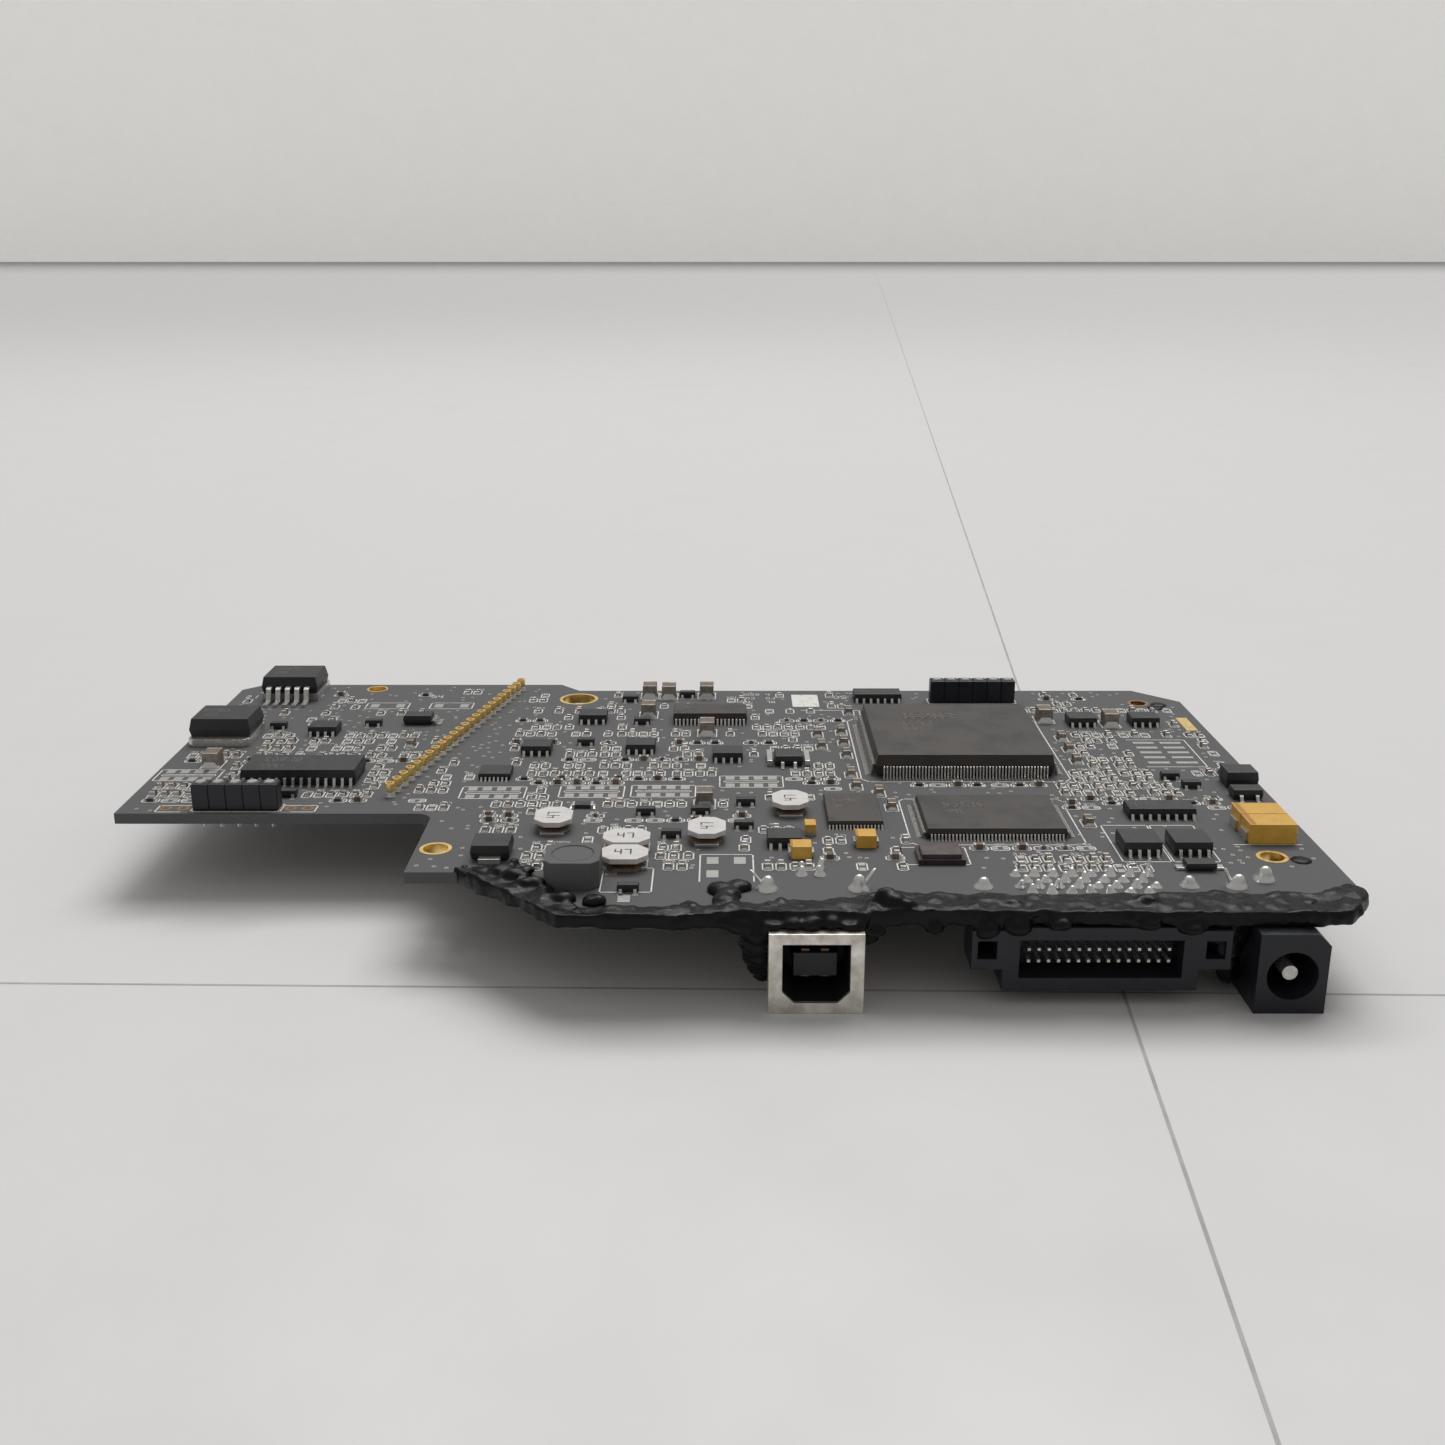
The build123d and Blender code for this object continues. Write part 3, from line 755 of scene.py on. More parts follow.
@dataclass
class Deck:
    """The board's top face: where things stand on it, and what room is taken."""

    datum: float = 0.35
    top: float = 12.5
    margin: float = 0.8
    taken: list[tuple[float, float, float, float]] = field(default_factory=list)
    outline: tuple[Point, ...] = (
        (-86.15, -15.4), (-39.3, -15.4), (-39.3, -37.4), (-31.4, -37.4), (-17.0, -49.7), (81.85, -49.7),
        (86.15, -45.4), (86.15, 41.6), (79.05, 48.7), (-23.4, 48.7), (-27.0, 52.7), (-82.75, 52.7),
        (-86.15, 49.3),
    )

    def inside(self, x: float, y: float) -> bool:
        """Tells whether a point lies within the board's outline.

        Args:
            x: Place along X.
            y: Place along Y.

        Returns:
            True for a point on the board.
        """
        hits = False
        for (ax, ay), (bx, by) in zip(self.outline, self.outline[1:] + self.outline[:1]):
            if (ay > y) != (by > y) and x < (bx - ax) * (y - ay) / (by - ay) + ax:
                hits = not hits
        return hits

    def at(self, x: float, y: float, turn: float = 0.0, lift: float = 0.0) -> Matrix:
        """Matrix of a place on the deck, in metres."""
        place = Vector((x, y + self.datum, self.top + lift)) * MM
        return Matrix.Translation(place) @ Matrix.Rotation(math.radians(turn), 4, "Z")

    @staticmethod
    def step(x: float, y: float, z: float = 0.0) -> Matrix:
        """Matrix of a move, in millimetres."""
        return Matrix.Translation(Vector((x, y, z)) * MM)

    def spots(self, spots: Spots) -> list[Matrix]:
        """Matrices of several (x, y, turn) places."""
        return [self.at(x, y, turn) for x, y, turn in spots]

    def take(self, x: float, y: float, length: float, width: float, margin: float = 0.25) -> None:
        """Marks an oblong as taken."""
        dx, dy = length / 2 + margin, width / 2 + margin
        self.taken.append((x - dx, y - dy, x + dx, y + dy))

    def take_all(self, spots: Spots, length: float, width: float, margin: float = 0.25) -> None:
        """Marks a part's oblong as taken at each of its places.

        Args:
            spots: The places.
            length: Size along X of an unturned part.
            width: Size along Y of an unturned part.
            margin: Room left all round.
        """
        for x, y, turn in spots:
            upright = abs(turn) % 180 > 45
            self.take(x, y, width if upright else length, length if upright else width, margin)

    def free(self, x: float, y: float, length: float, width: float) -> bool:
        """Tells whether an oblong is still free, and clear of the board's edge.

        Args:
            x: Its middle along X.
            y: Its middle along Y.
            length: Size along X.
            width: Size along Y.

        Returns:
            True where it can be used.
        """
        dx, dy = length / 2, width / 2
        reach = self.margin
        corners = [(x + sx * (dx + reach), y + sy * (dy + reach)) for sx in (-1, 1) for sy in (-1, 1)]
        if not all(self.inside(*corner) for corner in corners):
            return False
        return all(x + dx < a or x - dx > c or y + dy < b or y - dy > d for a, b, c, d in self.taken)


@dataclass
class Legend:
    """White printed lines and plain numbers on the board."""

    deck: Deck
    stroke: float = 0.2
    rise: float = 0.025
    digit_width: float = 0.5
    digit_pitch: float = 0.82
    digit_stroke: float = 0.15
    strokes: list[Matrix] = field(default_factory=list)
    segments: dict[str, str] = field(
        default_factory=lambda: {
            "0": "abcdef", "1": "bc", "2": "abged", "3": "abgcd", "4": "fgbc",
            "5": "afgcd", "6": "afgedc", "7": "abc", "8": "abcdefg", "9": "abcdfg",
        }
    )

    def line(self, start: Point, end: Point, width: float = 0.0) -> None:
        """Adds one printed stroke.

        Args:
            start: Its first end.
            end: Its other end.
            width: Its width, or the usual one.
        """
        run = Vector(end) - Vector(start)
        middle = (Vector(end) + Vector(start)) / 2
        width = width or self.stroke
        turn = math.degrees(math.atan2(run.y, run.x))
        place = self.deck.at(middle.x, middle.y, turn, self.rise)
        self.strokes.append(place @ Matrix.Diagonal((run.length + width, width, 1, 1)))

    def path(self, points: Outline, closed: bool = False) -> None:
        """A chain of strokes."""
        for start, end in zip(points, points[1:] + points[:1] if closed else points[1:]):
            self.line(start, end)

    def frame(self, x: float, y: float, length: float, width: float, cut: float = 0.0) -> None:
        """An oblong outline about a place."""
        corners = Bench.oblong(length, width, cut)
        self.path([(x + dx, y + dy) for dx, dy in corners], closed=True)

    def number(self, text: str, x: float, y: float, size: float = 0.9, turn: float = 0.0) -> None:
        """A plain number in straight strokes, its first digit at the place.

        Args:
            text: Digits.
            x: Left end.
            y: Foot.
            size: Height.
            turn: Turn about the place, in degrees.
        """
        wide, half = size * self.digit_width, size / 2
        ends = {
            "a": ((0, size), (wide, size)), "b": ((wide, half), (wide, size)), "c": ((wide, 0), (wide, half)),
            "d": ((0, 0), (wide, 0)), "e": ((0, 0), (0, half)), "f": ((0, half), (0, size)),
            "g": ((0, half), (wide, half)),
        }
        spin = Matrix.Rotation(math.radians(turn), 2)
        for index, digit in enumerate(text):
            shift = Vector((index * size * self.digit_pitch, 0))
            for key in self.segments[digit]:
                start, end = (spin @ (Vector(point) + shift) + Vector((x, y)) for point in ends[key])
                self.line(tuple(start), tuple(end), size * self.digit_stroke)

    def build(self, name: str, stock: Stock) -> None:
        """Makes all strokes one thin mesh.

        Args:
            name: Name of the piece.
            stock: Its finish.
        """
        corners = [Vector((x, y, 0)) * MM for x, y in Bench.oblong(1.0, 1.0)]
        points = [stroke @ corner for stroke in self.strokes for corner in corners]
        faces = [tuple(range(index, index + 4)) for index in range(0, len(points), 4)]
        mesh = bpy.data.meshes.new(name)
        mesh.from_pydata(points, [], faces)
        piece = bpy.data.objects.new(name, mesh)
        bpy.context.collection.objects.link(piece)
        Bench.finish(piece, name, stock)


@dataclass
class Section:
    """What every sub-assembly works with: the deck and the printed legend."""

    deck: Deck
    legend: Legend

    def lay(
        self, master: Piece, spots: Spots, name: str, stock: Stock, nodes: Nodes = (), smooth: float = 0.0
    ) -> None:
        """Copies a master to places on the deck and finishes the joined piece."""
        Bench.finish(Bench.spread(master, self.deck.spots(spots)), name, stock, nodes, smooth)


@dataclass
class Laminate(Section):
    """The board itself: mask, plated holes, bare lands and the legend's outlines."""

    thickness: float = 1.6
    proud: float = 0.03
    lining: Point = (0.07, 0.02)
    rim: Spot = (0.06, -0.2, 0.035)
    plated: tuple = (
        ("lining_left", -61.1, 49.8, 1.65, 1.95, Stock.GOLD),
        ("lining_back_right", 78.3, 40.6, 1.4, 1.9, Stock.COPPER),
        ("lining_front_right", 78.4, -32.0, 1.7, 2.15, Stock.GOLD),
        ("lining_front_left", -36.5, -29.0, 1.8, 2.25, Stock.GOLD),
        ("lining_large", -23.0, 43.3, 3.0, 3.5, Stock.GOLD),
    )
    test_rings: Spots = ((-79.2, -13.3, 0), (-76.6, -13.3, 0), (-60.7, -13.3, 0), (-58.2, -13.3, 0))
    ring_surrounds: Outline = ((-77.7, -13.4), (-59.6, -13.4))
    empty_inductors: Outline = ((-31.7, -6.5), (-16.7, -6.0), (-5.8, -5.8), (7.7, -1.5), (-80.6, 1.5))
    inductor_columns: tuple[float, ...] = (-3.3, -1.1, 1.1, 3.3)
    inductor_rows: Point = (-1.65, 1.65)
    slot_columns: Point = (73.4, 77.9)
    slot_rows: tuple[float, ...] = (17.7, 15.2, 12.7, 10.2, 7.6)
    edge_spot: Spot = (83.6, 28.1, 0)
    pairs: Outline = ((-57.0, 39.0), (-45.5, 39.0))
    pair_reach: float = 2.3
    land_rise: float = 0.035
    chip_frames: tuple = (
        (41.2, 14.7, 32.6, 32.6, 1.2), (41.85, -18.5, 24.4, 18.4, 0.8),
        (60.9, -27.0, 6.6, 13.6, 0.0), (67.7, -27.0, 6.3, 13.6, 0.0),
    )
    texts: tuple = (
        ("05", 23.6, 43.6, 1.6), ("21", -84, 44, 1.4), ("12", -72, 44.6, 1.4), ("34", -50, 44, 1.4),
        ("7", 26.6, 45.6, 1.4), ("51", -83.5, -9.8, 1.4),
    )
    block_rows: tuple[str, ...] = ("1029 4", "307 01", "24 18")
    block_corner: Point = (6.6, 45.6)
    block_pitch: Point = (4.6, 2.4)
    block_size: float = 1.1

    def build(self) -> None:
        """Builds and dresses the board's own pieces."""
        Bench.keep("circuit_board", Stock.MASK)
        self.linings()
        self.lands()
        self.outlines()
        self.numbers()

    def linings(self) -> None:
        """Plated rings in the five holes and four test rings."""
        reach_in, reach_out = self.lining
        rim_in, rim_low, rim_high = self.rim
        for name, x, y, radius, land, stock in self.plated:
            tube = Bench.ring(radius - reach_in, radius + reach_out, -self.thickness - self.proud, self.proud)
            rim = Bench.ring(radius - rim_in, land, rim_low, rim_high)
            self.lay(Bench.join([tube, rim]), [(x, y, 0)], name, stock, smooth=40)
            self.deck.take(x, y, 2 * land, 2 * land, 0.6)
        ring = Bench.ring(0.45, 0.95, -0.1, 0.04, 20)
        self.lay(ring, self.test_rings, "test_rings", Stock.COPPER, smooth=40)
        for x, y in self.ring_surrounds:
            self.legend.frame(x, y, 5.4, 2.7)
            self.deck.take(x, y, 5.6, 2.9)

    def lands(self) -> None:
        """Empty tinned lands of parts that were never fitted."""
        small = [
            (x + dx, y + dy, 0)
            for x, y in self.empty_inductors
            for dx in self.inductor_columns
            for dy in self.inductor_rows
        ]
        self.lay(Bench.land(1.4, 1.5, self.land_rise), small, "empty_lands", Stock.PAD)
        for x, y in self.empty_inductors:
            self.legend.frame(x, y, 9.8, 5.2)
            self.legend.frame(x, y, 8.4, 0.7)
            self.deck.take(x, y, 10, 5.4)
        slots = [(x, y, 0) for x in self.slot_columns for y in self.slot_rows]
        self.lay(Bench.land(3.5, 1.0, 0.04), slots, "slot_lands", Stock.PAD)
        self.legend.path([(71, 5.5), (80.6, 5.5), (80.6, 19.3), (71, 19.3)])
        self.deck.take(75.8, 12.5, 10, 14.6)
        self.lay(Bench.land(1.9, 7.3, 0.03), [self.edge_spot], "edge_land", Stock.GOLD)
        self.deck.take(self.edge_spot[0], self.edge_spot[1], 2, 7.5)
        pairs = [(x + dx, y, 0) for x, y in self.pairs for dx in (-self.pair_reach, self.pair_reach)]
        self.lay(Bench.land(1.5, 2.1, self.land_rise), pairs, "pair_lands", Stock.PAD)
        for x, y in self.pairs:
            self.legend.frame(x, y, 7.6, 3.6)
            self.deck.take(x, y, 7.8, 3.8)

    def outlines(self) -> None:
        """Printed outlines round the larger parts and one solid label."""
        legend = self.legend
        legend.path([(27.9, -28.6), (36.8, -28.6), (36.8, -34.8), (27.9, -34.8)], closed=True)
        for x, y, length, width, cut in self.chip_frames:
            legend.frame(x, y, length, width, cut)
        legend.line((74.5, -27.6), (84.0, -27.6))
        legend.line((-76.5, -14.8), (-60.5, -14.8))
        legend.frame(-9.35, -40.0, 6.7, 8.0)
        legend.line((18.2, 40.8), (18.2, 43.6), 4.8)
        legend.path([(17.2, 36.2), (27.5, 36.2), (27.5, 31.0)])
        self.deck.take(18.2, 42.2, 5.4, 8.6)
        self.deck.take(28.0, -46.5, 121.0, 17.0)

    def numbers(self) -> None:
        """Plain printed numbers, in one block and singly."""
        left, top = self.block_corner
        step, drop = self.block_pitch
        for row, text in enumerate(self.block_rows):
            for index, part in enumerate(text.split()):
                self.legend.number(part, left + index * step, top - row * drop, self.block_size)
        for text, x, y, size in self.texts:
            self.legend.number(text, x, y, size)


@dataclass(frozen=True)
class Package:
    """One kind of chip: its body, its rows of bent leads and where it stands."""

    name: str
    length: float
    width: float
    height: float
    span: float
    leads: int
    pitch: float
    lead_width: float
    spots: Spots = ()
    end_leads: int = 0
    thickness: float = 0.16
    stock: Stock = Stock.EPOXY
    dot: float = 0.0
    dimples: tuple[Point, ...] = ()

    def lead(self) -> Piece:
        """The gull-wing lead of this package.

        Returns:
            A bent strip, its body end at the origin and its toe towards -Y.
        """
        reach = (self.span - self.width) / 2
        knee, stock = self.height * 0.52, self.thickness
        outline = [
            (0.25, knee), (-0.34 * reach, knee), (-0.40 * reach, knee - 0.3 * stock),
            (-0.60 * reach, stock), (-reach, stock), (-reach, 0.0), (-0.50 * reach, 0.0),
            (-0.46 * reach, 0.15 * stock), (-0.24 * reach, knee - stock), (0.25, knee - stock),
        ]
        return Bench.strip(outline, self.lead_width)

    def lead_places(self) -> list[Matrix]:
        """Places of the leads about the body's middle.

        Returns:
            A matrix for each lead, side by side.
        """
        places = []
        sides = [(self.leads, 0, self.width), (self.leads, 180, self.width)]
        if self.end_leads:
            sides += [(self.end_leads, 90, self.length), (self.end_leads, 270, self.length)]
        for count, turn, across in sides:
            spin = Matrix.Rotation(math.radians(turn), 4, "Z")
            places += [
                spin @ Deck.step((index - (count - 1) / 2) * self.pitch, -across / 2)
                for index in range(count)
            ]
        return places


@dataclass
class Chips(Section):
    """Every moulded chip, with its leads, lands and first pin's mark."""

    standoff: float = 0.1
    draft: float = 0.975
    soft: float = 0.09
    land_width: float = 1.25
    land_length: float = 0.75
    land_place: float = 0.78
    dot_inset: float = 1.6
    dot_depth: float = 0.2
    dot_rise: float = 0.012
    packages: tuple[Package, ...] = (
        Package(
            "processor", 28, 28, 3.6, 30.6, 52, 0.5, 0.22, ((41.2, 14.7, 0),),
            end_leads=52, thickness=0.14, stock=Stock.BROWNED, dot=0.85, dimples=((-8.7, -8.1), (8.3, 8.6)),
        ),
        Package(
            "logic", 20, 14, 1.6, 16, 38, 0.5, 0.22, ((41.85, -18.5, 0),),
            end_leads=26, thickness=0.14, stock=Stock.BROWNED, dot=0.8,
        ),
        Package(
            "memory", 8, 11.8, 1.15, 13.4, 16, 0.5, 0.22, ((22.3, -15.5, 0),),
            thickness=0.13, stock=Stock.BROWNED, dot=0.5,
        ),
        Package(
            "converter", 12.8, 5.6, 2.0, 8.0, 19, 0.65, 0.3, ((1.05, 30.9, 0),), stock=Stock.BROWNED, dot=0.6
        ),
        Package("driver", 17.9, 7.5, 2.5, 10.3, 14, 1.27, 0.42, ((-62.2, 0.65, 0),), thickness=0.25, dot=0.9),
        Package(
            "amplifier", 4.9, 3.9, 1.6, 6.0, 4, 1.27, 0.42,
            (
                (-19.3, 30.3, 0), (-27.2, 13.2, 0), (-10.2, 14, 0), (4.05, 9.8, 0), (65.3, 28.5, 0),
                (76.1, 28.6, 0), (-64.5, 23.5, 0), (11.85, -27, 0),
            ),
            thickness=0.2, dot=0.5,
        ),
        Package(
            "store", 5.3, 5.3, 2.0, 7.9, 4, 1.27, 0.42, ((60.8, -29.05, 0), (67.7, -29.05, 0)),
            thickness=0.2, dot=0.6,
        ),
        Package("gate", 8.65, 3.9, 1.6, 6.0, 7, 1.27, 0.42, ((31.3, 43, 0),), thickness=0.2, dot=0.5),
        Package("mux", 9.9, 3.9, 1.6, 6.0, 8, 1.27, 0.42, ((67.2, -15.7, 0),), thickness=0.2, dot=0.5),
        Package("buffer", 5.0, 4.4, 1.1, 6.4, 7, 0.65, 0.28, ((-32.3, 1.4, 0),), dot=0.4),
    )

    def build(self) -> None:
        """Builds each kind of chip."""
        for package in self.packages:
            self.bodies(package)
            self.leads(package)
            self.marks(package)
            span = package.length + (package.span - package.width if package.end_leads else 0)
            self.deck.take_all(package.spots, span, package.span, 0.5)

    def bodies(self, package: Package) -> None:
        """Drafted, rounded bodies standing a little off the board.

        Args:
            package: The kind of chip.
        """
        body = Bench.block(
            package.length, package.width, self.standoff, package.height, self.draft, self.soft
        )
        self.lay(body, package.spots, package.name + "_mouldings", package.stock, (package.name + "_body",))

    def leads(self, package: Package) -> None:
        """Bent leads and the lands under them.

        Args:
            package: The kind of chip.
        """
        local = package.lead_places()
        places = [spot @ place for spot in self.deck.spots(package.spots) for place in local]
        leads = Bench.spread(package.lead(), places)
        Bench.finish(leads, package.name + "_wires", Stock.TIN, (package.name + "_leads",))
        reach = (package.span - package.width) / 2
        land = Bench.land(package.lead_width * self.land_width, reach * self.land_length, 0.04)
        land.data.transform(Deck.step(0, -reach * self.land_place))
        Bench.finish(Bench.spread(land, places), package.name + "_lands", Stock.PAD)

    def marks(self, package: Package) -> None:
        """A round mark at the first pin, or where the package says.

        Args:
            package: The kind of chip.
        """
        x = package.length / 2 - package.dot * self.dot_inset
        y = package.width / 2 - package.dot * self.dot_inset
        low, high = package.height - self.dot_depth, package.height + self.dot_rise
        dot = Bench.turned([(package.dot, low), (package.dot, high)], 20)
        dimples = package.dimples or ((-x, -y),)
        places = [spot @ Deck.step(*dimple) for spot in self.deck.spots(package.spots) for dimple in dimples]
        Bench.finish(Bench.spread(dot, places), package.name + "_dots", Stock.INSULATOR)


@dataclass
class ChipNumbers(Section):
    """Faded plain numbers on the larger chips."""

    rise: float = 0.012
    rows: tuple = (
        ("processor", 3.6, ((33, 20.5, "100482", 2.0), (33, 16.8, "2071", 1.6), (33, 13.6, "38", 1.6))),
        ("logic", 1.6, ((35.5, -16.6, "30518", 1.5), (35.5, -19.3, "442", 1.2))),
        ("driver", 2.5, ((-68.5, 1.2, "20613", 1.5), (-68.5, -1.6, "7741", 1.2))),
        ("memory", 1.15, ((19.4, -13.4, "2048", 1.2), (19.4, -15.8, "16", 1.2))),
        ("converter", 2.0, ((-3.8, 31.2, "1602", 1.1),)),
        ("gate", 1.6, ((28.0, 42.6, "74", 1.1),)),
        ("mux", 1.6, ((63.2, -16.2, "4051", 1.1),)),
    )

    def build(self) -> None:
        """Builds one marking for each chip named."""
        for name, height, lines in self.rows:
            marking = Legend(Deck(self.deck.datum, self.deck.top + height), rise=self.rise)
            for x, y, text, size in lines:
                marking.number(text, x, y, size)
            marking.build(name + "_number", Stock.PALE_MARK)


@dataclass
class Transistors(Section):
    """Small three-legged parts."""

    spots: Spots = (
        (-19.5, 17, 0), (-8, -15.5, 0), (0, -15.2, 0), (-57, 27.5, 0), (-73, 26, 0), (73, 0, 0),
        (-13.5, 42, 0), (-10.7, 28.5, 0), (-3.2, 44.8, 0), (6.7, -11.5, 0), (6.3, -21, 0), (-4, -24.5, 0),
        (-9, -43.5, 0), (75.2, -4, 0), (-62.5, -8, 0),
    )
    shape: Package = Package("transistor", 2.9, 1.3, 1.1, 2.5, 2, 1.9, 0.42, thickness=0.15)
    standoff: float = 0.08
    draft: float = 0.93
    soft: float = 0.06
    land: float = 0.8
    land_place: float = -0.6
    room: float = 3.2

    def build(self) -> None:
        """Builds the bodies, leads and lands."""
        shape = self.shape
        body = Bench.block(shape.length, shape.width, self.standoff, shape.height, self.draft, self.soft)
        self.lay(body, self.spots, "transistor_mouldings", Stock.EPOXY, ("transistor_bodies",))
        side, front = shape.pitch / 2, -shape.width / 2
        back = Matrix.Rotation(math.pi, 4, "Z") @ Deck.step(0, front)
        local = [Deck.step(-side, front), Deck.step(side, front), back]
        places = [spot @ place for spot in self.deck.spots(self.spots) for place in local]
        Bench.finish(Bench.spread(shape.lead(), places), "transistor_wires", Stock.TIN, ("transistor_leads",))
        land = Bench.land(self.land, self.land, 0.05)
        land.data.transform(Deck.step(0, self.land_place))
        Bench.finish(Bench.spread(land, places), "transistor_lands", Stock.PAD)
        self.deck.take_all(self.spots, self.room, self.room)


@dataclass
class DetectorRow(Section):
    """The slanted row of turned gold sockets for the detector."""

    start: Point = (-47.0, -7.9)
    end: Point = (-34.2, 49.1)
    count: int = 24
    room: Point = (2.2, 2.6)
    socket: Outline = (
        (0.5, 0.0), (0.5, 0.8), (0.74, 0.95), (0.78, 1.95), (0.72, 2.15), (0.44, 2.15), (0.36, 1.5),
    )
    foot: Outline = ((0.82, -0.03), (0.74, 0.1), (0.70, 0.6), (0.55, 0.82))

    def build(self) -> None:
        """Builds the sockets and the solder at their feet."""
        (x, y), (far_x, far_y), last = self.start, self.end, self.count - 1
        spots = [
            (x + (far_x - x) * index / last, y + (far_y - y) * index / last, 0.0)
            for index in range(self.count)
        ]
        socket = Bench.turned(self.socket, 14)
        self.lay(socket, spots, "turned_sockets", Stock.GOLD, ("detector_sockets",), 40)
        self.lay(Bench.turned(self.foot, 12), spots, "socket_feet", Stock.TIN, (), 60)
        self.deck.take_all(spots, *self.room)


@dataclass
class StripSockets(Section):
    """Two pin-strip sockets."""

    strips: tuple = ((-68.6, -13.05, 5), (48.35, 41.95, 6))
    pitch: float = 2.54
    groove: float = 0.12
    cell_width: float = 2.5
    core_width: float = 2.1
    low: float = 0.1
    high: float = 4.1
    core_high: float = 3.95
    soft: float = 0.16

    def build(self) -> None:
        """Builds the grooved bodies and ringed mouths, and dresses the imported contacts."""
        Bench.keep("strip_contacts", Stock.TIN)
        spots = [
            (x + (index - (count - 1) / 2) * self.pitch, y, 0)
            for x, y, count in self.strips
            for index in range(count)
        ]
        cell = Bench.block(self.pitch - self.groove, self.cell_width, self.low, self.high, 1.0, self.soft)
        core = Bench.block(self.pitch, self.core_width, self.low, self.core_high)
        self.lay(Bench.join([cell, core]), spots, "strip_cells", Stock.CONNECTOR, ("strip_bodies",))
        self.lay(Bench.ring(0.42, 0.80, 3.9, 4.15, 16), spots, "strip_mouths", Stock.TIN, (), 40)
        self.lay(Bench.ring(0.26, 0.43, 3.2, 4.12, 12), spots, "strip_throats", Stock.GOLD, (), 40)
        for x, y, count in self.strips:
            self.legend.frame(x, y, count * self.pitch + 0.6, 3.1)
            self.deck.take(x, y, count * self.pitch, 2.6, 0.7)


@dataclass
class Regulators(Section):
    """Two tabbed voltage regulators."""

    spots: Spots = ((-75.4, 52.2, 0), (-80.3, 15.6, 180))
    length: float = 10.16
    width: float = 8.5
    low: float = 0.6
    high: float = 4.385
    draft: float = 0.92
    soft: float = 0.14
    body_middle: float = -5.55
    body_end: float = 9.8
    leads: int = 5
    lead_pitch: float = 1.7
    lead_width: float = 0.85
    lead: Outline = (
        (0.4, 2.75), (-1.0, 2.75), (-1.5, 2.5), (-2.1, 0.7), (-2.4, 0.5), (-4.4, 0.5), (-4.4, 0.0),
        (-2.1, 0.0), (-1.65, 0.4), (-1.1, 2.1), (-0.8, 2.25), (0.4, 2.25),
    )
    texts: tuple = ((-79.2, 47.6, "1084"), (-78.4, 45.0, "33"), (-84.2, 21.4, "2940"), (-83.4, 19.0, "50"))
    text_size: float = 1.4
    text_rise: float = 0.01
    room: Point = (11.0, 14.8)
    room_middle: float = 7.2
    room_limit: float = 80.5

    def build(self) -> None:
        """Builds the bodies, leads and numbers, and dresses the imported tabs."""
        body = Bench.block(self.length, self.width, self.low, self.high, self.draft, self.soft)
        body.data.transform(Deck.step(0, self.body_middle))
        self.lay(body, self.spots, "regulator_mouldings", Stock.EPOXY, ("regulator_bodies",))
        Bench.keep("regulator_tabs", Stock.TIN, 0.08)
        places = [
            spot @ Deck.step((index - (self.leads - 1) / 2) * self.lead_pitch, -self.body_end)
            for spot in self.deck.spots(self.spots)
            for index in range(self.leads)
        ]
        wires = Bench.spread(Bench.strip(self.lead, self.lead_width), places)
        Bench.finish(wires, "regulator_wires", Stock.TIN, ("regulator_leads",))
        marking = Legend(Deck(self.deck.datum, self.deck.top + self.high), rise=self.text_rise)
        for x, y, text in self.texts:
            marking.number(text, x, y, self.text_size)
        marking.build("regulator_numbers", Stock.PALE_MARK)
        for x, y, turn in self.spots:
            middle = y - self.room_middle if turn == 0 else y + self.room_middle
            self.deck.take(min(max(x, -self.room_limit), self.room_limit), middle, *self.room)


@dataclass
class Drums(Section):
    """Wound inductors under white ceramic plates."""

    spots: Spots = ((13.2, -13.9, 90), (1.05, -25.2, 90), (-20.9, -21, 90), (-10, -29, 0), (-10, -35, 0))
    height: float = 2.0
    foot: Point = (1.72, 0.4)
    turns: int = 5
    wire_low: float = 0.42
    wire_pitch: float = 0.16
    wire_radius: float = 1.98
    groove_radius: float = 1.78
    end_reach: float = 2.75
    text: str = "47"
    text_size: float = 1.6
    level_shift: Point = (-1.2, -0.8)
    turned_shift: Point = (0.8, -1.2)

    def build(self) -> None:
        """Builds the windings and end lands, and dresses the plates and bases."""
        Bench.keep("drum_plates", Stock.WHITE, 0.08)
        Bench.keep("drum_bases", Stock.FERRITE, 0.05)
        profile = [self.foot]
        for index in range(self.turns):
            low = self.wire_low + index * self.wire_pitch
            profile += [(self.wire_radius, low + 0.04), (self.wire_radius, low + 0.11)]
            profile.append((self.groove_radius, low + 0.15))
        self.lay(Bench.turned(profile, 24), self.spots, "wound_wire", Stock.WINDING, ("drum_windings",), 50)
        reach = (-self.end_reach, self.end_reach)
        ends = [spot @ Deck.step(dx, 0) for spot in self.deck.spots(self.spots) for dx in reach]
        end = Bench.block(0.9, 3.4, 0.0, 0.42, 1.0, 0.06)
        Bench.finish(Bench.spread(end, ends), "drum_ends", Stock.SOLDER)
        marking = Legend(Deck(self.deck.datum, self.deck.top + self.height), rise=0.012)
        for x, y, turn in self.spots:
            dx, dy = self.turned_shift if turn else self.level_shift
            marking.number(self.text, x + dx, y + dy, self.text_size, turn)
        marking.build("drum_numbers", Stock.PALE_MARK)
        self.deck.take_all(self.spots, 6.8, 5.6, 0.5)


